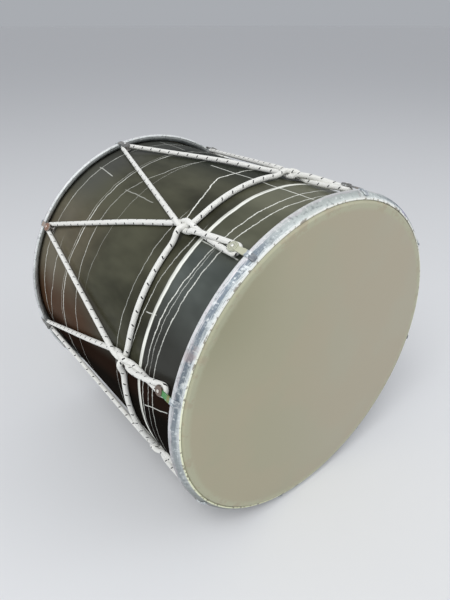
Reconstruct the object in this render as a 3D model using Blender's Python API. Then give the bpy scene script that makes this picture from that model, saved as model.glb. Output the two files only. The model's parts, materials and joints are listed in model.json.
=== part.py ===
"""A Caucasian rope-laced drum, lying on its side on its two hoops.

Metres, +Z up. The drum's axis runs along Y and the playing head faces -Y. The origin is on the
floor, under the middle of the drum. Angles round the drum are in degrees, seen from the playing
head: 0 is +X, 90 is up. "Back" is a distance behind the centre of the front hoop.
"""

import math

import bmesh
import bpy
import numpy as np
from mathutils import Matrix, Vector

MM = 0.001

# Shell and its two inner rings
SHELL_RADIUS = 177.0 * MM
SHELL_WALL = 5.0 * MM
SHELL_EDGE_CUT = 0.5 * MM
INNER_RING_WALL = 8.0 * MM
INNER_RING_WIDTH = 25.0 * MM
INNER_RING_SETBACK = 1.5 * MM

# Hoops: tube pressed flat and bent to a ring. It leans over the edge of the shell, and is split along
# the side next to the film to take the film's edge. The tilt is from the plane of the hoop.
HOOP_SPACING = 325.0 * MM
TUBE_HALF_WIDTH = 6.5 * MM
TUBE_HALF_THICKNESS = 3.2 * MM
TUBE_WALL = 1.0 * MM
TUBE_TILT = math.radians(57.0)
HOOP_STAND_OFF = 0.9 * MM
SLOT_WIDTH = 1.5 * MM

# Heads: plastic film, drawn over the edge of the shell and folded round a wire inside the hoop
FILM = 0.5 * MM
HEAD_RISE = 10.5 * MM
WIRE_RADIUS = 0.9 * MM
FILM_FOLD = 190.0

# Hooks, and the flanged roller and rivet that each one carries
HOOKS = 8
HOOK_REACH = 17.7 * MM
STRAP = 1.2 * MM
STRAP_HALF_WIDTH = 3.0 * MM
NECK_HALF_WIDTH = 2.6 * MM
LUG_RADIUS = 5.3 * MM
CLAW_END = 62.0
RIVET_RADIUS = 0.9 * MM
RIVET_FLANGE_RADIUS = 4.9 * MM
RIVET_FLANGE = 0.7 * MM
RIVET_DOME_RADIUS = 1.9 * MM
RIVET_DOME = 1.1 * MM
RIVET_FOOT_RADIUS = 2.2 * MM
RIVET_FOOT = 0.8 * MM
ROLLER_WALL = 0.85 * MM
ROLLER_FLANGE_RADIUS = 4.6 * MM
ROLLER_FLANGE = 0.9 * MM

# Where each hook sits, in degrees: an even spacing, and how far the hand lacing strays from it
FRONT_FIRST = 77.0
FRONT_STRAY = (0.6, 0.7, -1.2, 0.5, -0.5, 0.4, 0.0, 0.5)
REAR_FIRST = 57.5
REAR_STRAY = (-0.8, 0.0, 0.2, -1.7, 0.4, 0.5, 0.3, -0.6)
JUNCTION_STRAY = (0.5, 0.2, 2.7, 1.0, 0.5, -0.5, 0.8, 0.3)

# Rope: one length laces the two rows of hooks, and one more runs round the shell to tighten it
ROPE_RADIUS = 2.9 * MM
ROPE_SQUEEZE = 0.85
ROPE_OFF_SHELL = 0.9 * MM
ROPE_APART = 0.9 * MM
ROPE_BLEND = 2.5 * MM

# Where two strands and the ring rope weave: each strand crosses the other twice, and the ring rope between
REAR_CROSSING_BACK = 112.0 * MM
REST_BACK = 170.0 * MM
RING_BACK = 89.5 * MM
FRONT_CROSSING_BACK = 63.0 * MM
STRAND_SPREAD = 6.4 * MM
LEVEL_BEHIND_RING = 4.0 * MM
LEVEL_BEFORE_RING = 7.0 * MM
LEVEL_CHANGE = 9.0 * MM
LEVEL_PAST_CROSSING = 9.0 * MM
RING_RISE = 6.4 * MM
RING_HIGH_END = 8.8 * MM
RING_LOW_AGAIN = 18.0 * MM
RING_LOW_START = 14.0 * MM
RING_BACK_BEFORE = 86.5 * MM
RING_BACK_AFTER = 90.5 * MM
RING_SLANT = 1.5 * MM

GAP = 0.3 * MM
ROUND_STEPS = 48
SMALL_STEPS = 8
ROPE_SIDES_RESOLUTION = 1
SMOOTH_ANGLE = math.radians(40)


def tube_reach(extra):
    """How far the hoop's tube, grown by an extra skin, reaches outwards from the middle of its section."""
    wide = (TUBE_HALF_WIDTH + extra) * math.cos(TUBE_TILT)
    thick = (TUBE_HALF_THICKNESS + extra) * math.sin(TUBE_TILT)
    return math.hypot(wide, thick)


# Worked out from the sizes above
FRONT_Y = -HOOP_SPACING / 2
TUBE_MIDDLE = SHELL_RADIUS + HOOP_STAND_OFF + tube_reach(0.0)
HOOP_RADIUS = TUBE_MIDDLE + tube_reach(0.0)
TUBE_RISE = (TUBE_HALF_WIDTH**2 - TUBE_HALF_THICKNESS**2) * math.sin(2 * TUBE_TILT) / 2 / tube_reach(0.0)
FILM_MID_RISE = HEAD_RISE - FILM / 2
SHELL_END_RISE = HEAD_RISE - FILM - GAP
STRAP_INNER = tube_reach(GAP) - tube_reach(0.0)
STRAP_OUTER = tube_reach(GAP + STRAP) - tube_reach(0.0)
ROLLER_BORE = (RIVET_RADIUS + GAP) / math.cos(math.pi / SMALL_STEPS)
ROLLER_HUB = ROLLER_BORE + ROLLER_WALL
SQUEEZED_ROPE = ROPE_RADIUS * ROPE_SQUEEZE
LOOP_RADIUS = ROLLER_HUB + GAP + SQUEEZED_ROPE
ROLLER_TOP = STRAP_INNER - GAP
LOOP_HEIGHT = ROLLER_TOP - GAP - SQUEEZED_ROPE
ROLLER_FLANGE_TOP = LOOP_HEIGHT - SQUEEZED_ROPE - GAP
ROLLER_FOOT = ROLLER_FLANGE_TOP - ROLLER_FLANGE
ROPE_LOW = SHELL_RADIUS + ROPE_OFF_SHELL + ROPE_RADIUS
ROPE_HIGH = ROPE_LOW + 2 * ROPE_RADIUS + ROPE_APART


def clear_scene():
    for thing in list(bpy.data.objects):
        bpy.data.objects.remove(thing, do_unlink=True)


def material(name, colour, roughness, metallic=0.0):
    made = bpy.data.materials.get(name) or bpy.data.materials.new(name)
    made.use_nodes = True
    shader = made.node_tree.nodes["Principled BSDF"]
    shader.inputs["Base Color"].default_value = (*colour, 1.0)
    shader.inputs["Roughness"].default_value = roughness
    shader.inputs["Metallic"].default_value = metallic
    made.diffuse_color = (*colour, 1.0)
    return made


SHELL_WRAP = material("dark_glossy_wrap", (0.035, 0.032, 0.03), 0.2)
PLYWOOD = material("plywood", (0.45, 0.3, 0.16), 0.6)
HEAD_FILM = material("beige_film", (0.42, 0.38, 0.3), 0.5)
HOOP_METAL = material("hoop_aluminium", (0.62, 0.66, 0.7), 0.35, 1.0)
STEEL_WIRE = material("steel_wire", (0.4, 0.4, 0.4), 0.4, 1.0)
ROPE_WHITE = material("white_braided_rope", (0.85, 0.84, 0.8), 0.8)
CREAM_STRAP = material("cream_painted_strap", (0.62, 0.62, 0.45), 0.45)
GREEN_STRAP = material("green_painted_strap", (0.12, 0.42, 0.2), 0.45)
GREY_STRAP = material("grey_steel_strap", (0.4, 0.38, 0.36), 0.4, 1.0)
COPPER_RIVET = material("copper_rivet", (0.45, 0.3, 0.22), 0.4, 1.0)
STEEL_ROLLER = material("steel_roller", (0.5, 0.5, 0.5), 0.35, 1.0)


def place_round(angle, radius, back):
    """The point at an angle round the drum, a radius from its axis and a distance behind the front hoop."""
    turn = math.radians(angle)
    return Vector((radius * math.cos(turn), FRONT_Y + back, axis_height() + radius * math.sin(turn)))


def axis_height():
    """The hoops rest on the middle of a facet, so their lowest point is a little above the full radius."""
    return max(point[0] for point in hoop_outline()) * math.cos(math.pi / ROUND_STEPS)


def add_object(name, mesh, finish, matrix):
    made = bpy.data.objects.new(name, mesh)
    made.data.materials.clear()
    made.data.materials.append(finish)
    made.matrix_world = matrix
    bpy.context.collection.objects.link(made)
    return made


def turn_outline(name, outline, steps, closed, first_angle=0.0):
    """Spins an outline of (radius, height) points round Z. An open outline starts and ends on the axis."""
    bm = bmesh.new()
    points = [bm.verts.new((radius, 0.0, height)) for radius, height in outline]
    edges = [bm.edges.new(pair) for pair in zip(points, points[1:])]
    if closed:
        edges.append(bm.edges.new((points[-1], points[0])))
    start = Matrix.Rotation(math.radians(first_angle), 3, "Z")
    bmesh.ops.rotate(bm, verts=points, cent=(0, 0, 0), matrix=start)
    bmesh.ops.spin(
        bm, geom=edges, cent=(0, 0, 0), axis=(0, 0, 1), angle=2 * math.pi, steps=steps, use_merge=True
    )
    bmesh.ops.remove_doubles(bm, verts=bm.verts, dist=1e-7)
    return finished_mesh(name, bm)


def finished_mesh(name, bm):
    bmesh.ops.recalc_face_normals(bm, faces=bm.faces)
    mesh = bpy.data.meshes.new(name)
    bm.to_mesh(mesh)
    bm.free()
    mesh.shade_smooth()
    mesh.set_sharp_from_angle(angle=SMOOTH_ANGLE)
    return mesh


def end_matrix(rear):
    """Stands a turned piece at a hoop's centre, with its height pointing out of that end of the drum."""
    y = -FRONT_Y if rear else FRONT_Y
    tip = Matrix.Rotation(math.radians(-90 if rear else 90), 4, "X")
    return Matrix.Translation((0, y, axis_height())) @ tip


def add_turned(name, outline, finish, rear, closed):
    half_step = 180.0 / ROUND_STEPS
    mesh = turn_outline(name, outline, ROUND_STEPS, closed, half_step)
    return add_object(name, mesh, finish, end_matrix(rear))


def tube_point(along, across):
    """A point of the hoop's section as (radius, height), from lengths towards its slot and across it."""
    lean, rise = math.cos(TUBE_TILT), math.sin(TUBE_TILT)
    return (TUBE_MIDDLE - along * lean + across * rise, TUBE_RISE + along * rise + across * lean)


def tube_arc(half_width, half_thickness, start, end, steps):
    """Points on an oval round the middle of the hoop's tube. Angle 0 is the side with the slot."""
    turns = [math.radians(start + (end - start) / steps * k) for k in range(steps + 1)]
    return [tube_point(half_width * math.cos(t), half_thickness * math.sin(t)) for t in turns]


def hoop_outline():
    """A flat split tube: the slot is on its edge next to the film."""
    outer_steps = 13
    inner_steps = 7
    outline = []
    for skin, steps in ((0.0, outer_steps), (TUBE_WALL, inner_steps)):
        half_width, half_thickness = TUBE_HALF_WIDTH - skin, TUBE_HALF_THICKNESS - skin
        slot = math.degrees(math.asin(SLOT_WIDTH / 2 / half_thickness))
        points = tube_arc(half_width, half_thickness, slot, 360 - slot, steps)
        outline += points[::-1] if skin else points
    return outline


def ribbon(middle, thickness):
    """The closed outline of a strip of even thickness along a middle line that starts on the axis."""
    outer, inner = [], []
    for k, point in enumerate(middle):
        here = Vector(point)
        before = Vector(middle[max(k - 1, 0)])
        after = Vector(middle[min(k + 1, len(middle) - 1)])
        into = (here - before).normalized() if k else (after - here).normalized()
        away = (after - here).normalized() if k < len(middle) - 1 else into
        along = (into + away).normalized()
        across = Vector((-along.y, along.x)) * thickness / 2 / max(along.dot(into), 0.5)
        outer.append(tuple(here + across))
        inner.append(tuple(here - across))
    return outer + inner[::-1]


def head_outline():
    """Film from the centre to the shell's edge, down into the hoop's slot, then folded round the wire."""
    fold_radius = WIRE_RADIUS + GAP + FILM / 2
    fold_steps = 4
    edge = SHELL_RADIUS + GAP
    slot = tube_point(TUBE_HALF_WIDTH, 0.0)
    fold = tube_arc(fold_radius, fold_radius, 0, FILM_FOLD, fold_steps)
    return ribbon([(0.0, FILM_MID_RISE), (edge, FILM_MID_RISE), slot] + fold, FILM)


def shell_outline():
    """The wall of the shell, with its outer edge broken at each end where the film turns down."""
    inner = SHELL_RADIUS - SHELL_WALL
    edge = SHELL_RADIUS - SHELL_EDGE_CUT
    shoulder = SHELL_END_RISE - SHELL_EDGE_CUT
    near = [(inner, SHELL_END_RISE), (edge, SHELL_END_RISE), (SHELL_RADIUS, shoulder)]
    far = [(radius, -HOOP_SPACING - height) for radius, height in near[::-1]]
    return near + far


def inner_ring_outline():
    outer = SHELL_RADIUS - SHELL_WALL - GAP / math.cos(math.pi / ROUND_STEPS)
    inner = outer - INNER_RING_WALL
    top = SHELL_END_RISE - INNER_RING_SETBACK
    bottom = top - INNER_RING_WIDTH
    return [(inner, bottom), (inner, top), (outer, top), (outer, bottom)]


def wire_outline():
    sides = 6
    return tube_arc(WIRE_RADIUS, WIRE_RADIUS, 0, 360, sides)[:-1]


def build_shell_and_heads():
    add_turned("shell", shell_outline(), SHELL_WRAP, False, True)
    for end_name, rear in (("front", False), ("rear", True)):
        add_turned(end_name + "_reinforcing_ring", inner_ring_outline(), PLYWOOD, rear, True)
        add_turned(end_name + "_head", head_outline(), HEAD_FILM, rear, False)
        add_turned(end_name + "_hoop", hoop_outline(), HOOP_METAL, rear, True)
        add_turned(end_name + "_bead_wire", wire_outline(), STEEL_WIRE, rear, True)


def hook_matrix(angle, rear):
    """A frame on the crest of the hoop: Z points out from the drum's axis, Y towards the drum's middle."""
    turn = math.radians(angle)
    outward = Vector((math.cos(turn), 0, math.sin(turn)))
    inward_y = Vector((0, -1 if rear else 1, 0))
    across = inward_y.cross(outward)
    turned = Matrix((across, inward_y, outward)).transposed().to_4x4()
    centre = outward * HOOP_RADIUS + Vector((0, -FRONT_Y if rear else FRONT_Y, axis_height()))
    return Matrix.Translation(centre) @ turned


def strap_outline():
    """The flat part of a hook from above: a round lug, a neck, and the strap where it meets the hoop."""
    lug_steps = 9
    waist = math.degrees(math.asin(NECK_HALF_WIDTH / LUG_RADIUS))
    start = -90 + waist
    step = (360 - 2 * waist) / (lug_steps - 1)
    turns = [math.radians(start + step * k) for k in range(lug_steps)]
    lug = [(LUG_RADIUS * math.cos(t), HOOK_REACH + LUG_RADIUS * math.sin(t)) for t in turns]
    return lug + [(-STRAP_HALF_WIDTH, 0.0), (STRAP_HALF_WIDTH, 0.0)]


def claw_corners(share):
    """The four corners of the claw at a share of its length, in the hook's frame, low pair first."""
    corners = []
    for skin, sides in ((GAP, (-1, 1)), (GAP + STRAP, (1, -1))):
        half_width, half_thickness = TUBE_HALF_WIDTH + skin, TUBE_HALF_THICKNESS + skin
        crest = 180 - math.degrees(math.atan(half_thickness / half_width * math.tan(TUBE_TILT)))
        angle = crest + (CLAW_END - crest) * share
        radius, height = tube_arc(half_width, half_thickness, angle, angle, 1)[0]
        corners += [(side * STRAP_HALF_WIDTH, -height, radius - HOOP_RADIUS) for side in sides]
    return corners


def hook_mesh():
    """A strap with its rivet hole. Its claw follows the hoop's tube from the crest to the front."""
    bm = bmesh.new()
    rim = [bm.verts.new((x, y, STRAP_INNER)) for x, y in strap_outline()]
    hole = [
        bm.verts.new((ROLLER_BORE * math.cos(t), HOOK_REACH + ROLLER_BORE * math.sin(t), STRAP_INNER))
        for t in (2 * math.pi * k / SMALL_STEPS for k in range(SMALL_STEPS))
    ]
    edges = [bm.edges.new((ring[k - 1], ring[k])) for ring in (rim, hole) for k in range(len(ring))]
    flat = bmesh.ops.triangle_fill(bm, use_beauty=True, edges=edges)
    faces = [face for face in flat["geom"] if isinstance(face, bmesh.types.BMFace)]
    lifted = bmesh.ops.extrude_face_region(bm, geom=faces, use_keep_orig=True)
    top = [vert for vert in lifted["geom"] if isinstance(vert, bmesh.types.BMVert)]
    bmesh.ops.translate(bm, verts=top, vec=(0, 0, STRAP_OUTER - STRAP_INNER))
    end = next(face for face in bm.faces if all(abs(vert.co.y) < 1e-6 for vert in face.verts))
    middle = (STRAP_INNER + STRAP_OUTER) / 2
    ring = sorted(end.verts, key=lambda vert: math.atan2(vert.co.z - middle, vert.co.x))
    bmesh.ops.delete(bm, geom=[end], context="FACES_ONLY")
    claw_steps = 5
    for k in range(claw_steps):
        after = [bm.verts.new(corner) for corner in claw_corners((k + 1) / claw_steps)]
        for j in range(len(ring)):
            bm.faces.new((ring[j - 1], ring[j], after[j], after[j - 1]))
        ring = after
    bm.faces.new(ring)
    return finished_mesh("hook", bm)


def rivet_outline():
    """From the top of the dome down the axis side: flange, shank, and the foot under the roller."""
    seat = STRAP_OUTER + GAP
    top = seat + RIVET_FLANGE
    foot = ROLLER_FOOT - GAP
    shoulder = math.radians(45)
    return [
        (0.0, top + RIVET_DOME),
        (RIVET_DOME_RADIUS * math.cos(shoulder), top + RIVET_DOME * math.sin(shoulder)),
        (RIVET_DOME_RADIUS, top),
        (RIVET_FLANGE_RADIUS, top),
        (RIVET_FLANGE_RADIUS, seat),
        (RIVET_RADIUS, seat),
        (RIVET_RADIUS, foot),
        (RIVET_FOOT_RADIUS, foot),
        (RIVET_FOOT_RADIUS, foot - RIVET_FOOT),
        (0.0, foot - RIVET_FOOT),
    ]


def roller_outline():
    """A sleeve on the rivet, with a flange at its foot that keeps the rope on."""
    return [
        (ROLLER_BORE, ROLLER_TOP),
        (ROLLER_HUB, ROLLER_TOP),
        (ROLLER_HUB, ROLLER_FLANGE_TOP),
        (ROLLER_FLANGE_RADIUS, ROLLER_FLANGE_TOP),
        (ROLLER_FLANGE_RADIUS, ROLLER_FOOT),
        (ROLLER_BORE, ROLLER_FOOT),
    ]


def front_angle(k):
    return FRONT_FIRST + 360 / HOOKS * k + FRONT_STRAY[k % HOOKS]


def rear_angle(k):
    return REAR_FIRST + 360 / HOOKS * k + REAR_STRAY[k % HOOKS]


def build_hooks():
    strap = hook_mesh()
    rivet = turn_outline("rivet", rivet_outline(), SMALL_STEPS, False)
    roller = turn_outline("roller", roller_outline(), SMALL_STEPS, True)
    finishes = {("front", 2): CREAM_STRAP, ("front", 3): GREEN_STRAP}
    for end_name, rear, angle_of in (("front", False, front_angle), ("rear", True, rear_angle)):
        for k in range(HOOKS):
            label = f"{end_name}_%s_{k + 1}"
            frame = hook_matrix(angle_of(k), rear)
            axle = frame @ Matrix.Translation((0, HOOK_REACH, 0))
            finish = finishes.get((end_name, k + 1), GREY_STRAP)
            add_object(label % "hook", strap.copy(), finish, frame)
            add_object(label % "rivet", rivet.copy(), COPPER_RIVET, axle)
            add_object(label % "roller", roller.copy(), STEEL_ROLLER, axle)


def loop_round_roller(angle, rear):
    """Half a turn round a roller on its hoop side, from the lower angle to the higher one."""
    steps = 6
    side = 1 if rear else -1
    frame = hook_matrix(angle, rear)
    points = []
    for k in range(steps + 1):
        turn = math.radians(-90 + 180 / steps * k)
        across = side * LOOP_RADIUS * math.sin(turn)
        points.append(frame @ Vector((across, HOOK_REACH - LOOP_RADIUS * math.cos(turn), LOOP_HEIGHT)))
    return points


def beside(angle, shift, radius, back):
    """A point that lies a distance along the shell from an angle; positive is towards higher angles."""
    return place_round(angle + math.degrees(shift / ROPE_LOW), radius, back)


def junction_angle(k):
    return front_angle(k) + JUNCTION_STRAY[k % HOOKS]


def strand_spread(back):
    """How far a strand lies from its junction's middle: none at the crossings, most at the ring rope."""
    if back < FRONT_CROSSING_BACK:
        return -LOOP_RADIUS * (FRONT_CROSSING_BACK - back) / (FRONT_CROSSING_BACK - HOOK_REACH)
    behind = (REAR_CROSSING_BACK - back) / (REAR_CROSSING_BACK - RING_BACK)
    before = (back - FRONT_CROSSING_BACK) / (RING_BACK - FRONT_CROSSING_BACK)
    return STRAND_SPREAD * min(behind, before)


def strand_on_shell(k):
    """Where the lower strand of the rear crossing lies on the shell, on its way to the next hook."""
    share = (REST_BACK - REAR_CROSSING_BACK) / (HOOP_SPACING - HOOK_REACH - REAR_CROSSING_BACK)
    loop_side = math.degrees(LOOP_RADIUS / ROPE_LOW)
    angle = junction_angle(k) * (1 - share) + (rear_angle(k + 1) - loop_side) * share
    return place_round(angle, ROPE_LOW, REST_BACK)


def strand(k, side):
    """Corners of a strand from rear to front hook at junction k. Side 1 goes under the ring rope."""
    at_ring, at_crossing = (ROPE_LOW, ROPE_HIGH) if side > 0 else (ROPE_HIGH, ROPE_LOW)
    levels = [
        (RING_BACK + LEVEL_BEHIND_RING + LEVEL_CHANGE, at_crossing),
        (RING_BACK + LEVEL_BEHIND_RING, at_ring),
        (RING_BACK, at_ring),
        (RING_BACK - LEVEL_BEFORE_RING, at_ring),
        (RING_BACK - LEVEL_BEFORE_RING - LEVEL_CHANGE, at_crossing),
        (FRONT_CROSSING_BACK - LEVEL_PAST_CROSSING, at_crossing),
    ]
    corners = []
    if side < 0:
        corners.append(strand_on_shell(k))
    for back, radius in levels:
        share = min(1.0, (back - HOOK_REACH) / (FRONT_CROSSING_BACK - HOOK_REACH))
        middle = front_angle(k) + JUNCTION_STRAY[k % HOOKS] * share
        corners.append(beside(middle, side * strand_spread(back), radius, back))
    return corners


def rounded(before, corners, after):
    """A run of corners, each cut to two points, between the points that come before and after it."""
    run = [before] + corners + [after]
    most = 0.4
    points = []
    for k in range(1, len(run) - 1):
        for neighbour in (run[k - 1], run[k + 1]):
            away = neighbour - run[k]
            points.append(run[k] + away * min(most, ROPE_BLEND / away.length))
    return points


def lacing_route():
    """(point, squeeze) pairs for the whole lacing, an endless zigzag from hook to hook."""
    route = []
    for k in range(HOOKS):
        leaving = loop_round_roller(rear_angle(k), True)
        front_loop = loop_round_roller(front_angle(k), False)
        arriving = loop_round_roller(rear_angle(k + 1), True)
        route += [(point, ROPE_SQUEEZE) for point in leaving]
        route += [(point, 1.0) for point in rounded(leaving[-1], strand(k, 1), front_loop[0])]
        route += [(point, ROPE_SQUEEZE) for point in front_loop]
        away = strand(k, -1)[::-1]
        route += [(point, 1.0) for point in rounded(front_loop[-1], away, arriving[0])]
    return route


def ring_route():
    """(point, squeeze) pairs for the ring rope: under one strand and over the other at each junction."""
    free_points = 3
    lift = 1 / math.cos(math.radians(180 / HOOKS / (free_points + 1)))
    route = []
    for k in range(HOOKS):
        levels = [
            (-RING_LOW_START, ROPE_LOW, RING_BACK_BEFORE),
            (-RING_RISE / 2, ROPE_LOW, RING_BACK - RING_SLANT),
            (RING_RISE / 2, ROPE_HIGH, RING_BACK),
            (RING_HIGH_END, ROPE_HIGH, RING_BACK + RING_SLANT),
            (RING_LOW_AGAIN, ROPE_LOW, RING_BACK_AFTER),
        ]
        corners = [beside(junction_angle(k), *level) for level in levels]
        start = junction_angle(k) + math.degrees(RING_LOW_AGAIN / ROPE_LOW)
        end = junction_angle(k + 1) - math.degrees(RING_LOW_START / ROPE_LOW)
        free = []
        for j in range(free_points):
            share = (j + 1) / (free_points + 1)
            back = RING_BACK_AFTER + (RING_BACK_BEFORE - RING_BACK_AFTER) * share
            free.append(place_round(start + (end - start) * share, ROPE_LOW * lift, back))
        before = beside(junction_angle(k), -2 * RING_LOW_START, ROPE_LOW, RING_BACK_BEFORE)
        route += [(point, 1.0) for point in rounded(before, corners, free[0]) + free]
    return route


def add_rope(name, route):
    """An endless rope: a closed curve with a round bevel, thinner where the rope is squeezed."""
    curve = bpy.data.curves.new(name, "CURVE")
    curve.dimensions = "3D"
    curve.bevel_depth = ROPE_RADIUS
    curve.bevel_resolution = ROPE_SIDES_RESOLUTION
    spline = curve.splines.new("POLY")
    spline.points.add(len(route) - 1)
    for point, (place, squeeze) in zip(spline.points, route):
        point.co = (*place, 1.0)
        point.radius = squeeze
    spline.use_cyclic_u = True
    spline.use_smooth = True
    return add_object(name, curve, ROPE_WHITE, Matrix.Identity(4))


def fine_points(route):
    """Points a millimetre apart along a closed route: their places, rope radii and distances along it."""
    places = np.array([place for place, _ in route] + [route[0][0]])
    radii = np.array([squeeze for _, squeeze in route] + [route[0][1]]) * ROPE_RADIUS
    steps = np.linalg.norm(np.diff(places, axis=0), axis=1)
    along = np.concatenate(([0.0], np.cumsum(steps)))
    fine = np.arange(0.0, along[-1], MM)
    fine_places = np.column_stack([np.interp(fine, along, places[:, axis]) for axis in range(3)])
    return fine_places, np.interp(fine, along, radii), fine, along[-1]


def least_gap(first, second):
    """The least room between two ropes. Within one rope, only stretches that lie apart along it count."""
    places, radii, along, length = fine_points(first)
    others, other_radii, other_along, _ = fine_points(second)
    apart_along = 8 * ROPE_RADIUS
    least = length
    for place, radius, here in zip(places, radii, along):
        room = np.linalg.norm(others - place, axis=1) - other_radii - radius
        if first is second:
            between = np.abs(other_along - here)
            room = room[np.minimum(between, length - between) > apart_along]
        least = min(least, room.min())
    return least


def build_ropes():
    lacing = lacing_route()
    ring = ring_route()
    add_rope("lacing_rope", lacing)
    add_rope("ring_rope", ring)
    for label, pair in (("itself", (lacing, lacing)), ("the ring rope", (lacing, ring))):
        print(f"Least gap of the lacing to {label}: {least_gap(*pair) / MM:.2f} mm")


def main():
    clear_scene()
    build_shell_and_heads()
    build_hooks()
    build_ropes()


main()
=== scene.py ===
"""The looks of a rope-laced Caucasian drum that lies on its two hoops.

Metres, +Z up. The drum's axis runs along Y and the playing head faces -Y. Angles round the drum are
in degrees, seen from the playing head: 0 is +X, 90 is up. "Back" is a distance behind the centre of
the front hoop. The pieces that are made here stand for CAD nodes of the same size, in finer form.
"""

import json
import math

import bmesh
import bpy
from mathutils import Matrix, Vector


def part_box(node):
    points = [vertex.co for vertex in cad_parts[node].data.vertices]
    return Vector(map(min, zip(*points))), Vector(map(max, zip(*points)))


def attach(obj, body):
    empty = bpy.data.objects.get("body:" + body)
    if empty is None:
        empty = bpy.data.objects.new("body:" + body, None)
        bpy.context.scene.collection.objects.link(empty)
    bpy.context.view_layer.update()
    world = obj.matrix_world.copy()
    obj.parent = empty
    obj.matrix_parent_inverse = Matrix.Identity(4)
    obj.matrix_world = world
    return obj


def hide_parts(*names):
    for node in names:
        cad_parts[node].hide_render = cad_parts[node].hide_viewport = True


MM = 0.001
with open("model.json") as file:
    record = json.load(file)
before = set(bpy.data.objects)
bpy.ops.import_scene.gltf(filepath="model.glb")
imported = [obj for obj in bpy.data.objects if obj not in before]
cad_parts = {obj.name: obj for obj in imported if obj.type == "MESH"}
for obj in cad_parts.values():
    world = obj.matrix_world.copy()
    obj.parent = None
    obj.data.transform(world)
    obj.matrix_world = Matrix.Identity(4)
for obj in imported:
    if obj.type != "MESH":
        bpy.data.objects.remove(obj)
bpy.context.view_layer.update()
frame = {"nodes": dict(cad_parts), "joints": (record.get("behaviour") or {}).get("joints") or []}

# Sizes, as in the CAD
SHELL_RADIUS = 177.0 * MM
SHELL_WALL = 5.0 * MM
SHELL_EDGE_CUT = 0.5 * MM
HOOP_SPACING = 325.0 * MM
TUBE_HALF_WIDTH = 6.5 * MM
TUBE_HALF_THICKNESS = 3.2 * MM
TUBE_WALL = 1.0 * MM
TUBE_TILT = math.radians(57)
HOOP_STAND_OFF = 0.9 * MM
SLOT_WIDTH = 1.5 * MM
FILM = 0.5 * MM
HEAD_RISE = 10.5 * MM
WIRE_RADIUS = 0.9 * MM
FILM_FOLD = 190.0
HOOKS = 8
HOOK_REACH = 17.7 * MM
STRAP = 1.2 * MM
STRAP_HALF_WIDTH = 3.0 * MM
NECK_HALF_WIDTH = 2.6 * MM
LUG_RADIUS = 5.3 * MM
CLAW_END = 62.0
RIVET_RADIUS = 0.9 * MM
RIVET_FLANGE_RADIUS = 4.9 * MM
RIVET_FLANGE = 0.7 * MM
RIVET_DOME_RADIUS = 1.9 * MM
RIVET_DOME = 1.1 * MM
RIVET_FOOT_RADIUS = 2.2 * MM
RIVET_FOOT = 0.8 * MM
ROLLER_BORE = 1.3 * MM
ROLLER_WALL = 0.85 * MM
ROLLER_FLANGE_RADIUS = 4.6 * MM
ROLLER_FLANGE = 0.9 * MM
ROPE_RADIUS = 2.9 * MM
ROPE_SQUEEZE = 0.85
ROPE_OFF_SHELL = 0.9 * MM
GAP = 0.3 * MM

# The weave, as in the CAD but tighter: the strands grip the ring rope and sink into it a little
ROPE_PRESS = 0.9 * MM
JUNCTION_STRAY = (0.5, 0.2, 2.7, 1.0, 0.5, -0.5, 0.8, 0.3)
REAR_CROSSING_BACK = 106.0 * MM
REST_BACK = 170.0 * MM
RING_BACK = 89.5 * MM
FRONT_CROSSING_BACK = 56.0 * MM
STRAND_SPREAD = 4.0 * MM
LEVEL_BEHIND_RING = 3.0 * MM
LEVEL_BEFORE_RING = 7.0 * MM
LEVEL_CHANGE = 8.0 * MM
LEVEL_PAST_CROSSING = 9.0 * MM
RING_RISE = 6.4 * MM
RING_HIGH_END = 8.8 * MM
RING_LOW_AGAIN = 18.0 * MM
RING_LOW_START = 14.0 * MM
RING_BACK_BEFORE = 86.5 * MM
RING_BACK_AFTER = 90.5 * MM
RING_SLANT = 1.5 * MM


def tube_reach(extra):
    """How far the hoop's tube, grown by an extra skin, reaches outwards from the middle of its section."""
    wide = (TUBE_HALF_WIDTH + extra) * math.cos(TUBE_TILT)
    thick = (TUBE_HALF_THICKNESS + extra) * math.sin(TUBE_TILT)
    return math.hypot(wide, thick)


# Worked out from the sizes above
FRONT_Y = -HOOP_SPACING / 2
TUBE_MIDDLE = SHELL_RADIUS + HOOP_STAND_OFF + tube_reach(0.0)
HOOP_RADIUS = TUBE_MIDDLE + tube_reach(0.0)
TUBE_RISE = (TUBE_HALF_WIDTH**2 - TUBE_HALF_THICKNESS**2) * math.sin(2 * TUBE_TILT) / 2 / tube_reach(0.0)
FILM_MID_RISE = HEAD_RISE - FILM / 2
SHELL_END_RISE = HEAD_RISE - FILM - GAP
STRAP_INNER = tube_reach(GAP) - tube_reach(0.0)
STRAP_OUTER = tube_reach(GAP + STRAP) - tube_reach(0.0)
WAIST_RUN = math.sqrt(LUG_RADIUS**2 - NECK_HALF_WIDTH**2)
ROLLER_HUB = ROLLER_BORE + ROLLER_WALL
SQUEEZED_ROPE = ROPE_RADIUS * ROPE_SQUEEZE
LOOP_RADIUS = ROLLER_HUB + GAP + SQUEEZED_ROPE
ROLLER_TOP = STRAP_INNER - GAP
LOOP_HEIGHT = ROLLER_TOP - GAP - SQUEEZED_ROPE
ROLLER_FLANGE_TOP = LOOP_HEIGHT - SQUEEZED_ROPE - GAP
ROLLER_FOOT = ROLLER_FLANGE_TOP - ROLLER_FLANGE
ROPE_LOW = SHELL_RADIUS + ROPE_OFF_SHELL + ROPE_RADIUS
ROPE_HIGH = ROPE_LOW + 2 * ROPE_RADIUS - ROPE_PRESS
AXIS_HEIGHT = (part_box("shell")[0].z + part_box("shell")[1].z) / 2

# Fineness of the made pieces
ROUND_STEPS = 192
SMALL_STEPS = 32
ROPE_SIDES = 16
HOOK_COLUMNS = 8
CLAW_ROWS = 16
# Corners nearer than this are one corner
SAME_PLACE = 1e-7
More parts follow.
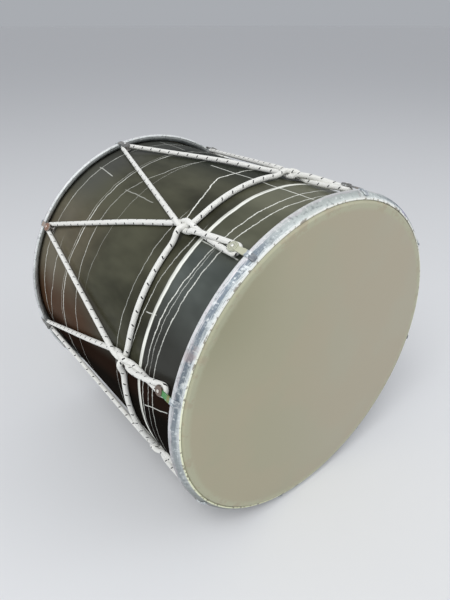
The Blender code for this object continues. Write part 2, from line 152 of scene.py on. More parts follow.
# The most that one round cuts off a corner of a rope's route
LONGEST_CUT = 9.0 * MM


class Number:
    """A value in a material. Arithmetic on it adds Math nodes to that material."""

    def __init__(self, finish, link):
        self.finish = finish
        self.link = link

    def math(self, operation, *values):
        return self.finish.node("ShaderNodeMath", {"operation": operation}, dict(enumerate(values)))

    def __add__(self, other):
        return self.math("ADD", self, other)

    def __sub__(self, other):
        return self.math("SUBTRACT", self, other)

    def __rsub__(self, other):
        return self.math("SUBTRACT", other, self)

    def __mul__(self, other):
        return self.math("MULTIPLY", self, other)

    def __truediv__(self, other):
        return self.math("DIVIDE", self, other)

    def __mod__(self, other):
        return self.math("FLOORED_MODULO", self, other)

    def __abs__(self):
        return self.math("ABSOLUTE", self)

    __radd__ = __add__
    __rmul__ = __mul__

    def floor(self):
        return self.math("FLOOR", self)

    def larger(self, other):
        return self.math("MAXIMUM", self, other)

    def rise(self, low, high):
        """0 up to low, 1 from high on, and a smooth rise between. With low above high it falls instead."""
        settings = {"interpolation_type": "SMOOTHSTEP"}
        ends = (0.0, 1.0) if low < high else (1.0, 0.0)
        sockets = {"Value": self, 1: min(low, high), 2: max(low, high), 3: ends[0], 4: ends[1]}
        return self.finish.node("ShaderNodeMapRange", settings, sockets)


class Finish:
    """One material: a Principled shader and the nodes that vary it over the surface."""

    def __init__(self, name, **constants):
        self.material = bpy.data.materials.new(name)
        self.material.use_nodes = True
        self.tree = self.material.node_tree
        self.shader = self.tree.nodes["Principled BSDF"]
        self.vary(**constants)

    def feed(self, socket, value):
        if isinstance(value, Number):
            self.tree.links.new(value.link, socket)
        elif isinstance(value, tuple) and len(value) == 3 and socket.type == "RGBA":
            socket.default_value = (*value, 1.0)
        else:
            socket.default_value = value

    def node(self, kind, settings, sockets, output=0):
        made = self.tree.nodes.new(kind)
        for key, value in settings.items():
            if key == "stops":
                self.set_stops(made.color_ramp, value)
            else:
                setattr(made, key, value)
        for key, value in sockets.items():
            self.feed(made.inputs[key], value)
        return Number(self, made.outputs[output])

    def set_stops(self, ramp, stops):
        """Fills a ramp with stops: a position, and two values that the ramp carries as red and green."""
        ramp.interpolation = "LINEAR"
        while len(ramp.elements) < len(stops):
            ramp.elements.new(0.5)
        for element, (position, first, second) in zip(ramp.elements, stops):
            element.position = position
            element.color = (first, second, 0.0, 1.0)

    def vary(self, **sockets):
        """Sets or links the shader's own sockets: base_color is Base Color, and so on."""
        for key, value in sockets.items():
            self.feed(self.shader.inputs[key.replace("_", " ").title().replace("Ior", "IOR")], value)
        return self

    def place(self):
        """The point on the surface, in the piece's own coordinates."""
        return self.node("ShaderNodeTexCoord", {}, {}, "Object")

    def parts_of(self, vector):
        """The three numbers of a vector."""
        apart = self.tree.nodes.new("ShaderNodeSeparateXYZ")
        self.feed(apart.inputs[0], vector)
        return [Number(self, output) for output in apart.outputs]

    def stretched(self, vector, factors):
        return self.node("ShaderNodeVectorMath", {"operation": "MULTIPLY"}, {0: vector, 1: factors})

    def shifted(self, vector, shift):
        return self.node("ShaderNodeVectorMath", {"operation": "ADD"}, {0: vector, 1: shift})

    def from_axis(self, vector):
        """How far a point lies from the Z axis of its piece."""
        flat = self.stretched(vector, (1, 1, 0))
        return self.node("ShaderNodeVectorMath", {"operation": "LENGTH"}, {0: flat}, 1)

    def noise(self, vector, scale, detail=3.0, roughness=0.5):
        sockets = {"Vector": vector, "Scale": scale, "Detail": detail, "Roughness": roughness}
        return self.node("ShaderNodeTexNoise", {"noise_dimensions": "3D"}, sockets)

    def mix(self, share, first, second):
        """A colour between two colours."""
        return self.node("ShaderNodeMix", {"data_type": "RGBA"}, {0: share, 6: first, 7: second}, 2)

    def layered(self, shade, *layers):
        """Lays colours over a shade one after the other, each with its share."""
        for share, colour in layers:
            shade = self.mix(share, shade, colour)
        return shade

    def bump(self, height, depth):
        """Raises the surface by up to a depth in metres where the height is 1."""
        sockets = {"Height": height, "Distance": depth, "Strength": 1.0}
        return self.vary(normal=self.node("ShaderNodeBump", {}, sockets))


# Shell: a dark glossy wrap with thin white veins and one white band. Lengths here are in millimetres
BAND_BACK = 67.0
BAND_HALF_WIDTH = 2.8
VEIN_WANDER = 5.0
LONG_VEIN_END = 3.0
# Veins round the shell, in rows that each go once round it: half width, then corners of (angle, back,
# whiteness). A row fades out where its whiteness falls to 0
VEIN_ROWS = (
    (0.6, ((0, 27, 0.6), (50, 29, 0.5), (64, 24, 0), (76, 20, 0.4), (92, 24, 0.8), (108, 30, 0.8),
           (127, 37, 0.8), (150, 41, 0.8), (166, 43, 0.7), (200, 40, 0.4), (212, 30, 0), (224, 23, 0.6),
           (268, 21, 0.6), (360, 27, 0.6))),
    (0.6, ((0, 42, 0.7), (38, 52, 0.7), (56, 37, 0.5), (96, 39, 0.8), (112, 43, 0.8), (130, 48, 0.8),
           (146, 55, 0.8), (163, 56, 0.8), (186, 62, 0.6), (196, 60, 0), (256, 36, 0), (266, 36, 0.7),
           (300, 44, 0.7), (360, 42, 0.7))),
    (0.4, ((0, 50, 0), (122, 44, 0), (128, 44, 0.5), (150, 50, 0.5), (176, 50, 0.5), (240, 58, 0.4),
           (250, 58, 0), (360, 50, 0))),
    (0.5, ((0, 84, 0), (118, 74, 0), (123, 74, 0.7), (141, 81, 0.7), (156, 83, 0.7), (172, 90, 0.5),
           (184, 92, 0), (360, 84, 0))),
    (0.5, ((0, 118, 0), (116, 112, 0), (122, 112, 0.5), (166, 113, 0.5), (240, 119, 0.5), (316, 108, 0.5),
           (328, 108, 0), (360, 118, 0))),
    (0.75, ((0, 112, 0.9), (6, 121, 0.9), (20, 124, 0.9), (30, 137, 0.9), (44, 139, 0.8), (56, 138, 0),
            (74, 136, 0), (82, 136, 1), (91, 133, 1), (98, 135, 1), (105, 124, 1), (109, 117, 1),
            (116, 109, 1), (121, 103, 1), (125, 100, 0), (258, 147, 0), (264, 147, 0.8), (274, 150, 0.8),
            (283, 163, 0.8), (290, 160, 0.8), (304, 182, 0.8), (311, 184, 0), (345, 98, 0), (351, 101, 0.9),
            (360, 112, 0.9))),
    (0.5, ((0, 178, 0.6), (36, 172, 0.6), (52, 180, 0), (84, 196, 0), (92, 197, 0.6), (106, 205, 0.6),
           (120, 223, 0.6), (135, 225, 0.6), (157, 216, 0.6), (205, 206, 0.5), (213, 190, 0),
           (221, 176, 0.6), (262, 184, 0.6), (300, 170, 0.6), (352, 181, 0.6), (360, 178, 0.6))),
    (0.35, ((0, 204, 0.5), (12, 202, 0.5), (86, 197, 0.5), (112, 196, 0.35), (150, 197, 0.35),
            (162, 197, 0), (310, 212, 0), (320, 212, 0.5), (360, 204, 0.5))),
    (0.65, ((0, 246, 0.7), (36, 241, 0.7), (68, 248, 0.7), (96, 246, 0.8), (147, 245, 0.8), (180, 251, 0.8),
            (240, 262, 0.6), (252, 262, 0), (298, 240, 0), (308, 240, 0.7), (352, 247, 0.7),
            (360, 246, 0.7))),
    (0.4, ((0, 252, 0), (88, 251, 0), (94, 251, 0.5), (150, 249, 0.5), (176, 256, 0.5), (184, 257, 0),
           (360, 252, 0))),
    (0.55, ((0, 281, 0.6), (52, 271, 0.6), (60, 272, 0), (66, 300, 0), (74, 301, 0.7), (104, 306, 0.7),
            (145, 309, 0.7), (187, 312, 0.7), (244, 298, 0.5), (252, 290, 0), (260, 284, 0.6),
            (300, 276, 0.6), (360, 281, 0.6))),
    (0.5, ((0, 308, 0.5), (36, 311, 0.5), (56, 303, 0.5), (64, 303, 0), (147, 279, 0), (154, 279, 0.6),
           (169, 284, 0.6), (184, 300, 0.6), (194, 318, 0.6), (199, 320, 0), (336, 306, 0), (346, 306, 0.5),
           (360, 308, 0.5))),
)
# Veins along the shell: angle at the front end, angle at the rear end, back at both ends, and whiteness
LONG_VEINS = (
    (90.7, 90.7, 18, 178, 0.85),
    (124.0, 124.0, 12, 66, 0.85),
    (206.0, 203.0, 70, 318, 0.6),
    (174.5, 181.0, 16, 60, 0.7),
    (117.0, 116.0, 270, 314, 0.55),
    (120.0, 120.0, 165, 227, 0.4),
    (84.0, 83.0, 259, 326, 0.5),
    (150.0, 151.0, 62, 80, 0.6),
    (251.0, 249.0, 60, 210, 0.6),
    (301.0, 299.0, 18, 140, 0.6),
    (338.0, 337.0, 150, 292, 0.6),
    (33.0, 31.0, 40, 122, 0.6),
    (9.0, 8.0, 200, 320, 0.5),
)
# Colours of the wrap: olive, slate, bright olive and brown, each as the two ends of its clouds
WRAP_CLOUDS = (
    ((0.027, 0.027, 0.017), (0.08, 0.08, 0.052)),
    ((0.058, 0.067, 0.061), (0.132, 0.15, 0.138)),
    ((0.07, 0.072, 0.048), (0.135, 0.137, 0.095)),
    ((0.062, 0.051, 0.032), (0.135, 0.116, 0.079)),
)
SHADED_SLATE = (0.027, 0.026, 0.022)
# Painted dark reflection near the top of the shell
PAINTED_DARK_REFLECTION_CREST = (0.014, 0.018, 0.015)
REAR_GREY = (0.078, 0.08, 0.074)
# Painted sheen: a lighter patch near the rear hoop
PAINTED_REAR_SHEEN = (0.2, 0.185, 0.145)
# Painted warm reflection, low on the shell at the rear
WARM_REFLECTION_BROWN = (0.062, 0.027, 0.012)
# Painted shade on the underside of the shell, from dark brown to nearly black
UNDERSIDE_SHADE_BROWN = (0.017, 0.009, 0.006)
UNDERSIDE_SHADE_BLACK = (0.006, 0.0045, 0.0035)
VEIN_WHITE = (0.92, 0.93, 0.86)


class Wrap(Finish):
    """The shell's finish, with the measures that its band, veins and colours share. Back is in mm."""

    def __init__(self, name):
        super().__init__(name, specular_ior_level=0.0, coat_roughness=0.2)
        self.point = self.place()
        self.across, self.up, out = self.parts_of(self.point)
        self.angle = (out.math("ARCTAN2", self.up, self.across) * math.degrees(1.0)) % 360.0
        self.back = out * (-1 / MM)
        self.wander = self.noise(self.point, 16.0, 3.0, 0.6) - 0.5
        self.jag = self.noise(self.point, 55.0, 5.0, 0.75) - 0.5
        self.fade = self.noise(self.shifted(self.point, (0.3, 5.2, 2.2)), 22.0, 3.0).rise(0.36, 0.56)

    def band(self):
        """The whiteness of the band: feathered, with one clean line just in front of its middle."""
        middle = self.back - BAND_BACK - self.wander * VEIN_WANDER
        feather = self.noise(self.stretched(self.point, (1.0, 1.0, 8.0)), 24.0, 3.0).rise(0.35, 0.62)
        wide = abs(middle + self.jag * 1.2).rise(BAND_HALF_WIDTH, BAND_HALF_WIDTH * 0.72)
        clean = abs(middle + 1.1 + self.jag).rise(1.0, 0.6)
        return (wide * (0.55 + feather * 0.4)).larger(clean * 0.95)

    def with_round_veins(self, white):
        """Adds the veins round the shell. A ramp holds where each row lies and how white it is."""
        length = HOOP_SPACING / MM
        for half_width, corners in VEIN_ROWS:
            stops = [(turn / 360, way / length, shown) for turn, way, shown in corners]
            ramp = self.node("ShaderNodeValToRGB", {"stops": stops}, {0: self.angle / 360.0})
            way, shown, _ = self.parts_of(ramp)
            centre = way * length + self.wander * VEIN_WANDER + self.jag * 6.0
            line = abs(self.back - centre).rise(half_width * 1.3, half_width * 0.5)
            white = white.larger(line * shown * (self.fade * 0.35 + 0.65))
        return white

    def with_long_veins(self, white):
        """Adds the veins along the shell, which fade in and out over their ends."""
        mm_a_degree = SHELL_RADIUS * math.radians(1.0) / MM
        for front_turn, rear_turn, first, last, whiteness in LONG_VEINS:
            turn = (self.back - first) * ((rear_turn - front_turn) / (last - first)) + front_turn
            aside = (self.angle - turn) * mm_a_degree + self.wander * 6.0 + self.jag * 2.0
            ends = self.back.rise(first, first + LONG_VEIN_END) * self.back.rise(last, last - LONG_VEIN_END)
            line = abs(aside).rise(0.75, 0.3) * ends
            white = white.larger(line * (self.fade * 0.3 + 0.7) * whiteness)
        return white

    def colour(self, crest, warm_reflection, level, underside_shade):
        """The wrap between its veins: clouded, other hues at front and rear, painted shade underneath,
        painted reflections at crest and rear.
        """
        up, back = self.up, self.back
        cloud = self.noise(self.stretched(self.point, (1.0, 1.0, 0.5)), 11.0, 4.0, 0.6).rise(0.32, 0.64)
        olive, slate, bright_olive, brown = [self.mix(cloud, *pair) for pair in WRAP_CLOUDS]
        slate = self.mix(up.rise(138 * MM, 64 * MM) * 0.88, slate, SHADED_SLATE)
        # Colour of the painted shade underneath
        deep = self.mix(level.rise(26 * MM, 4 * MM), UNDERSIDE_SHADE_BROWN, UNDERSIDE_SHADE_BLACK)
        near_front = back.rise(74.0, 60.0)
        return self.layered(
            olive,
            (crest * 0.75, PAINTED_DARK_REFLECTION_CREST),
            (near_front * up.rise(135 * MM, 160 * MM), bright_olive),
            (near_front * up.rise(160 * MM, 135 * MM), slate),
            (back.rise(170.0, 250.0) * up.rise(150 * MM, 105 * MM) * 0.75, brown),
            (back.rise(240.0, 300.0) * up.rise(120 * MM, 150 * MM) * 0.6, REAR_GREY),
            # Painted sheen near the rear hoop
            (back.rise(262.0, 292.0) * up.rise(150 * MM, 110 * MM) * 0.3, PAINTED_REAR_SHEEN),
            # Painted warm reflection, then painted shade underneath
            (warm_reflection * 0.9, WARM_REFLECTION_BROWN),
            (underside_shade * 0.98, deep),
        )


def shell_finish():
    """The wrap: its gloss is weaker on the veins, on the painted warm reflection and where the shell turns
    under into painted shade.
    """
    wrap = Wrap("dark_veined_wrap")
    up, back = wrap.up, wrap.back
    white = wrap.with_long_veins(wrap.with_round_veins(wrap.band()))
    # crest: where a painted dark reflection darkens the shell near its top
    crest = wrap.angle.rise(107.0, 88.0) * wrap.angle.rise(40.0, 60.0) * back.rise(70.0, 110.0)
    # Blotches of painted warm reflection, low at the rear
    rust = wrap.noise(wrap.shifted(wrap.point, (8.0, 2.0, 1.0)), 8.0, 3.0).rise(0.3, 0.56)
    warm_reflection = rust * back.rise(120.0, 210.0) * up.rise(72 * MM, 14 * MM)
    left = wrap.across.rise(90 * MM, -60 * MM)
    level = up + back * (0.21 * MM)
    # Painted shade on the underside of the shell, a little weaker on the right
    underside_shade = level.rise(62 * MM, 34 * MM) * (left * 0.3 + 0.7)
    coat = (1.0 - underside_shade * 0.96) * (1.0 - white * 0.6) * (1.0 - warm_reflection * 0.6) * (1.0 - crest * 0.5)
    smudge = wrap.noise(wrap.stretched(wrap.point, (1.0, 1.0, 3.0)), 40.0, 4.0, 0.6)
    wrap.vary(
        base_color=wrap.mix(white, wrap.colour(crest, warm_reflection, level, underside_shade), VEIN_WHITE),
        roughness=0.28 + smudge * 0.16,
        coat_weight=coat * 0.3,
    )
    return wrap.bump(smudge * 0.4 + white, 0.06 * MM)


# Colours of the film
FILM_PLAIN = (0.35, 0.34, 0.24)
FILM_WORN = (0.376, 0.358, 0.26)
FILM_WARM = (0.408, 0.375, 0.284)
FILM_PINK = (0.404, 0.345, 0.25)
FILM_GREENISH = (0.235, 0.245, 0.155)
FILM_YELLOW = (0.38, 0.345, 0.225)
FILM_MARK = (0.3, 0.27, 0.2)
# Paler film where it lies on the shell: painted light on the sloping collar
FILM_ON_SHELL_PAINTED_LIGHT = (0.41, 0.415, 0.29)
FILM_CREASE = (0.35, 0.285, 0.2)


def film_finish():
    """Beige film: clouded, greener at the upper left, and creased where it lies on the shell, with painted
    light there.
    """
    film = Finish("beige_film", ior=1.45)
    place = film.place()
    across, up, _ = film.parts_of(place)
    radius = film.from_axis(place)
    cloud = film.noise(place, 5.0, 2.0)
    grain = film.noise(place, 900.0, 2.0)
    mark = film.noise(film.shifted(place, (1.2, 0.0, 0.0)), 26.0, 5.0, 0.65).rise(0.68, 0.8)
    crease = film.noise(film.shifted(place, (2.2, 0.3, 0.0)), 70.0, 4.0, 0.7)
    ring = radius + (crease - 0.5) * (8 * MM)
    on_shell = ring.rise(SHELL_RADIUS - SHELL_WALL - 3.0 * MM, SHELL_RADIUS - SHELL_WALL + 2.0 * MM)
    hue = film.noise(film.shifted(place, (3.1, 0.2, 0.0)), 9.0, 3.0).rise(0.42, 0.56)
    worn = radius.rise(100 * MM, 20 * MM) * 0.5 + cloud * 0.5
    to_right = across.rise(-160 * MM, 160 * MM)
    warm = film.noise(film.shifted(place, (0.4, 2.6, 0.0)), 3.0, 2.0) + to_right - 0.5
    upper_left = across.rise(-50 * MM, -150 * MM) * up.rise(30 * MM, 120 * MM)
    shade = film.layered(
        FILM_PLAIN,
        (worn, FILM_WORN),
        (warm.rise(0.0, 0.9) * 0.8, FILM_WARM),
        (hue * 0.4, FILM_PINK),
        (upper_left * 0.9, FILM_GREENISH),
        (across.rise(60 * MM, -120 * MM) * 0.35, FILM_YELLOW),
        (mark * 0.18, FILM_MARK),
        # Painted light on the collar where the film lies on the shell
        (on_shell * 0.75, FILM_ON_SHELL_PAINTED_LIGHT),
        (on_shell * crease.rise(0.5, 0.62) * 0.5, FILM_CREASE),
    )
    film.vary(base_color=shade, roughness=0.42 + grain * 0.14)
    return film.bump(grain * 0.2 + cloud * 0.1 + crease * on_shell * 0.7, 0.1 * MM)


# Colours of the aluminium hoops
DULL_METAL = (0.36, 0.4, 0.41)
BRIGHT_METAL = (0.62, 0.67, 0.68)
# Painted highlight and painted dark reflection, laid as streaks round the tube
PAINTED_HIGHLIGHT_STREAK = (0.87, 0.9, 0.89)
PAINTED_DARK_REFLECTION_STREAK = (0.1, 0.132, 0.172)
BLOTCH_WHITE = (0.8, 0.84, 0.84)
OXIDE_GREY = (0.24, 0.26, 0.25)
# Paler colour at the top of the front hoop
PALE_TOP_GREY = (0.66, 0.71, 0.67)
PIT = (0.17, 0.19, 0.2)
GLINT = (0.88, 0.91, 0.89)
# Painted dark floor reflection at the foot of the front hoop
PAINTED_FLOOR_REFLECTION_GREY = (0.2, 0.21, 0.185)
PINK_METAL = (0.66, 0.55, 0.6)
STAIN_BROWN = (0.4, 0.31, 0.3)
# Painted dark line of shade round the rear hoop; the tube has no groove there
PAINTED_SHADE_LINE = (0.1, 0.1, 0.09)
VIOLET = (0.33, 0.28, 0.52)
# The slot's pale lip, brightened as a painted highlight, and dark specks on it
LIP_CREAM_HIGHLIGHT = (0.84, 0.86, 0.62)
LIP_WHITE_HIGHLIGHT = (0.8, 0.81, 0.76)
LIP_DIRT = (0.2, 0.17, 0.12)


def round_the_tube(metal, place):
    """Angle round the drum (radians), turn round the tube (degrees), and distance towards the slot."""
    across, up, out = metal.parts_of(place)
    lean, rise = math.cos(TUBE_TILT), math.sin(TUBE_TILT)
    forward = out - TUBE_RISE
    outward = metal.from_axis(place) - TUBE_MIDDLE
    to_slot = forward * rise - outward * lean
    to_face = forward * lean + outward * rise
    turn = out.math("ARCTAN2", to_face / TUBE_HALF_THICKNESS, to_slot / TUBE_HALF_WIDTH)
    return out.math("ARCTAN2", up, across), (turn * math.degrees(1.0)) % 360.0, to_slot


def hoop_finish(name, evenness, shade_line_depth):
    """Worn aluminium tube: painted highlights and a painted dark reflection as streaks round the hoop,
    oxide patches and stains.

    Evenness 1 adds what only the front hoop shows: calmer painted streaks on the lower half with a painted
    dark floor reflection at its foot, a paler top, one violet spot and a pale lip at the slot that is
    brightened as a painted highlight. The groove is a painted dark line of shade round the rear hoop; the
    tube's shape has no groove.
    """
    metal = Finish(name)
    place = metal.place()
    up = metal.parts_of(place)[1]
    angle, turn, to_slot = round_the_tube(metal, place)
    along = metal.node("ShaderNodeCombineXYZ", {}, {0: angle * 4.0, 1: turn * 0.02, 2: 0.0})
    longer = metal.node("ShaderNodeCombineXYZ", {}, {0: angle * 1.3, 1: turn * 0.012, 2: 3.0})
    streak = metal.noise(along, 9.0, 6.0, 0.75)
    smear = metal.noise(longer, 9.0, 4.0, 0.6)
    blotch = metal.noise(place, 60.0, 5.0, 0.75)
    speck = metal.noise(place, 260.0, 3.0)
    dull = metal.noise(metal.shifted(place, (0.7, 0.2, 0.0)), 7.0, 3.0, 0.6).rise(0.5, 0.62)
    stain = metal.noise(metal.shifted(place, (1.7, 0.4, 0.0)), 32.0, 4.0, 0.6).rise(0.6, 0.7)
    wave = (smear - 0.5) * 70.0
    # Calmer painted streaks on the lower half of the front hoop
    even = up.rise(60 * MM, -30 * MM) * evenness
    # Paler towards the top of the front hoop
    paler_top = up.rise(158 * MM, 180 * MM) * evenness
    # Painted highlights: two white streaks at fixed turns round the tube
    white = abs(turn - 40.0 + wave).rise(26.0, 10.0).larger(abs(turn - 185.0 + wave).rise(68.0, 44.0))
    white = white * (1.0 - even * 0.6)
    # Painted dark reflection: a bluish streak across the middle of the tube's face
    dark = abs(turn - 92.0 + wave).rise(26.0, 12.0) * (blotch * 0.5 + streak * 0.5).rise(0.37, 0.52)
    dark = dark * (1.0 - even * 0.7) * (1.0 - paler_top * 0.75)
    # A painted dark line of shade round the rear hoop
    groove = abs(turn - 208.0).rise(8.0, 4.0) * smear.rise(0.4, 0.5) * shade_line_depth
    violet = abs(angle - math.radians(52)).rise(math.radians(5), math.radians(1)) * blotch.rise(0.46, 0.56)
    pink = abs(turn - 140.0 + wave).rise(40.0, 15.0) * smear.rise(0.44, 0.54)
    # The slot's lip, brightened as a painted highlight
    lip = to_slot.rise(TUBE_HALF_WIDTH * 0.69, TUBE_HALF_WIDTH * 0.76) * evenness
    shade = metal.layered(
        metal.mix(streak.rise(0.35, 0.65), DULL_METAL, BRIGHT_METAL),
        (white * (streak * 0.6 + smear * 0.4).rise(0.36, 0.54) * 0.9, PAINTED_HIGHLIGHT_STREAK),
        (dark * 0.88, PAINTED_DARK_REFLECTION_STREAK),
        (blotch.rise(0.55, 0.64) * 0.65, BLOTCH_WHITE),
        (dull * 0.5, OXIDE_GREY),
        (paler_top * 0.55, PALE_TOP_GREY),
        (speck.rise(0.58, 0.68) * 0.5, PIT),
        (speck.rise(0.42, 0.33) * 0.5, GLINT),
        # Painted dark floor reflection at the foot
        (up.rise(-10 * MM, -110 * MM) * (0.8 * evenness), PAINTED_FLOOR_REFLECTION_GREY),
        (pink * 0.4, PINK_METAL),
        (stain * 0.5, STAIN_BROWN),
        (groove, PAINTED_SHADE_LINE),
        (violet * (0.7 * evenness), VIOLET),
        (lip * 0.9, metal.mix(up.rise(20 * MM, 130 * MM), LIP_CREAM_HIGHLIGHT, LIP_WHITE_HIGHLIGHT)),
        (lip * speck.rise(0.54, 0.6) * 0.8, LIP_DIRT),
    )
    metal.vary(
        base_color=shade,
        metallic=0.6 - white * 0.3 - lip * 0.3,
        roughness=0.38 + blotch * 0.3 + white * 0.08,
    )
    return metal.bump(speck * 0.5 + streak, 0.14 * MM)


# Rope: how far apart the ticks of one row lie, the rows, one turn of the white yarns, and their count
TICK_PITCH = 14.0 * MM
TICKS_A_TURN = 3
TICK_SLANT = math.radians(32)
YARN_PITCH = 11.0 * MM
YARNS = 12
CLEAN_YARN = (0.98, 0.98, 0.93)
GRIMY_YARN = (0.84, 0.83, 0.76)
# Painted shade in the hollows between the yarns
SHADE_BETWEEN_YARNS = (0.56, 0.57, 0.55)
BLACK_YARN = (0.01, 0.01, 0.012)


def braid_height(one, two):
    """Two sets of yarns that cross over and under each other, as a height from 0 to 1."""
    over = (one.floor() + two.floor()) % 2.0
    crowns = []
    for yarns in (one, two):
        off_middle = abs((yarns % 1.0) * 2.0 - 1.0)
        crowns.append(1.0 - off_middle * off_middle)
    first, second = crowns
    return first * over * (0.6 + second * 0.4) + second * (1.0 - over) * (0.6 + first * 0.4)


def rope_ticks(turn, along):
    """1 on the slanted ticks where the black yarn surfaces, in rows along the rope."""
    row = (turn * TICKS_A_TURN).floor()
    side = ((turn * TICKS_A_TURN) % 1.0 - 0.5) * (2 * math.pi * ROPE_RADIUS / TICKS_A_TURN)
    step = ((along / TICK_PITCH + row * (1 / TICKS_A_TURN)) % 1.0 - 0.5) * TICK_PITCH
    long_way = side * math.cos(TICK_SLANT) - step * math.sin(TICK_SLANT)
    short_way = side * math.sin(TICK_SLANT) + step * math.cos(TICK_SLANT)
    return abs(long_way).rise(1.8 * MM, 1.5 * MM) * abs(short_way).rise(0.76 * MM, 0.54 * MM)


def rope_finish():
    """White braid with black ticks, a little grimy, and painted shade between the yarns."""
    rope = Finish("white_braided_rope", ior=1.45, sheen_weight=0.15)
    turn, along, _ = rope.parts_of(rope.node("ShaderNodeUVMap", {"uv_map": "rope"}, {}))
    climb = along * (YARNS / YARN_PITCH)
    one = turn * YARNS + climb
    two = turn * YARNS - climb
    yarn = braid_height(one, two)
    grime = rope.noise(rope.place(), 30.0, 4.0, 0.6).rise(0.45, 0.75)
    fibre = rope.noise(rope.node("ShaderNodeCombineXYZ", {}, {0: one, 1: two * 6.0, 2: 0.0}), 3.0, 2.0)
    shade = rope.layered(
        CLEAN_YARN,
        (grime * 0.3, GRIMY_YARN),
        # Painted shade between the yarns
        ((1.0 - yarn) * 0.26, SHADE_BETWEEN_YARNS),
        (rope_ticks(turn, along), BLACK_YARN),
    )
    rope.vary(base_color=shade, roughness=0.72 + fibre * 0.16)
    return rope.bump(yarn * 0.85 + fibre * 0.15, 0.32 * MM)


# Colours of the hooks, the rivets and the hidden plywood
CREAM = (0.56, 0.57, 0.43)
GREEN = (0.085, 0.3, 0.1)
GREY = (0.22, 0.22, 0.215)
DARK_BROWN = (0.09, 0.065, 0.05)
BROWN_GREY = (0.36, 0.3, 0.26)
STRAP_METAL = (0.36, 0.41, 0.45)
STRAP_GLINT = (0.84, 0.88, 0.88)
STRAP_RUST = (0.32, 0.2, 0.09)
# Dark steel at the claw's end, darkened further as a painted dark reflection
CLAW_STEEL_AND_DARK_REFLECTION = (0.075, 0.085, 0.1)
PALE_PLY = (0.5, 0.34, 0.19)
GRAIN_BROWN = (0.34, 0.21, 0.1)
DARK_PLY = (0.22, 0.13, 0.06)


def painted_strap_finish(name, paint, lug, rust, claw_steel_and_reflection):
    """Paint on the flat of the hook, with its own colour on the lug, and bare metal over the hoop.

    Rust is how much rust the paint shows near the hoop, and claw_steel_and_reflection how dark the claw's end
    is: dark steel with a painted dark reflection.
    """
    strap = Finish(name)
    place = strap.place()
    across, back, _ = strap.parts_of(place)
    chip = strap.noise(place, 420.0, 4.0, 0.65)
    cloud = strap.noise(place, 120.0, 3.0)
    grind = strap.noise(strap.stretched(place, (1.0, 0.15, 1.0)), 900.0, 2.0)
    edge = abs(across).rise(NECK_HALF_WIDTH * 0.75, LUG_RADIUS)
    ragged = back + (chip - 0.5) * (4 * MM)
    painted = ragged.rise(0.8 * MM, 2.0 * MM) * (1.0 - (chip + edge * 0.15).rise(0.66, 0.72))
    rusted = back.rise(7.5 * MM, 3.0 * MM) * cloud.rise(0.36, 0.5) * rust
    # The claw's front end: dark steel with a painted dark reflection
    claw_end = ragged.rise(-2.8 * MM, -3.8 * MM)
    metal = strap.layered(
        STRAP_METAL,
        (chip.rise(0.4, 0.6), STRAP_GLINT),
        (claw_end * claw_steel_and_reflection, CLAW_STEEL_AND_DARK_REFLECTION),
    )
    shade = strap.layered(
        paint,
        (cloud, tuple(channel * 0.82 for channel in paint)),
        (back.rise(HOOK_REACH - 5.5 * MM, HOOK_REACH - 3.5 * MM), lug),
        (rusted, STRAP_RUST),
    )
    strap.vary(
        base_color=strap.mix(painted, metal, shade),
        metallic=0.75 - painted * 0.73 - claw_end * 0.3,
        roughness=0.36 + chip * 0.22,
    )
    return strap.bump(painted * 0.5 + grind * 0.3 + chip * 0.2, 0.08 * MM)


def rivet_finish(name, disc, dome):
    """A flange washer with two turned grooves, and a dome of worn bare metal, painted brighter as a
    highlight.
    """
    metal = Finish(name)
    place = metal.place()
    radius = metal.from_axis(place)
    stain = metal.noise(place, 500.0, 4.0, 0.6)
    outer_groove = abs(radius - 3.7 * MM).rise(0.5 * MM, 0.15 * MM)
    inner_groove = abs(radius - 2.1 * MM).rise(0.4 * MM, 0.1 * MM)
    groove = outer_groove.larger(inner_groove)
    # The dome: worn bare metal, brightened as a painted highlight
    domed = radius.rise(1.8 * MM, 1.5 * MM)
    dark = tuple(channel * 0.45 for channel in disc)
    shade = metal.mix((groove * 0.7).larger(stain.rise(0.5, 0.7) * 0.5), disc, dark)
    metal.vary(
        base_color=metal.mix(domed, shade, dome),
        metallic=domed * 0.5 + 0.2,
        roughness=0.42 - domed * 0.2 + stain * 0.15,
    )
    return metal.bump(stain * 0.3 + (1.0 - groove) * 0.7, 0.08 * MM)


def steel_finish(name, light, dark, scale):
    """Turned or drawn steel with fine rings and a little tarnish."""
    metal = Finish(name)
    place = metal.place()
    tarnish = metal.noise(place, scale, 4.0, 0.6)
    ring = metal.noise(metal.stretched(place, (0.1, 0.1, 1.0)), scale * 8.0, 2.0)
    metal.vary(
        base_color=metal.mix(tarnish.rise(0.35, 0.7), light, dark),
        metallic=0.95 - tarnish * 0.15,
        roughness=0.28 + tarnish * 0.22,
    )
    return metal.bump(ring, 0.03 * MM)


def plywood_finish():
    """The hidden rings: pale and dark plies and a long grain."""
    wood = Finish("ring_plywood")
    place = wood.place()
    grain = wood.noise(wood.stretched(place, (1.0, 12.0, 1.0)), 40.0, 5.0, 0.6)
    ply = wood.noise(wood.stretched(place, (90.0, 0.2, 90.0)), 2.0, 1.0)
    shade = wood.layered(PALE_PLY, (grain, GRAIN_BROWN), (ply.rise(0.5, 0.7) * 0.4, DARK_PLY))
    wood.vary(base_color=shade, roughness=0.55 + grain * 0.2)
    return wood.bump(grain, 0.1 * MM)


def add_piece(name, mesh, finish, matrix, body, *nodes):
    """A finished piece that stands for CAD nodes and rides on a body."""
    made = bpy.data.objects.new(name, mesh)
    bpy.context.collection.objects.link(made)
    made.matrix_world = matrix
    made.data.materials.clear()
    made.data.materials.append(finish.material)
    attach(made, body)
    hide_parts(*nodes)
    return made


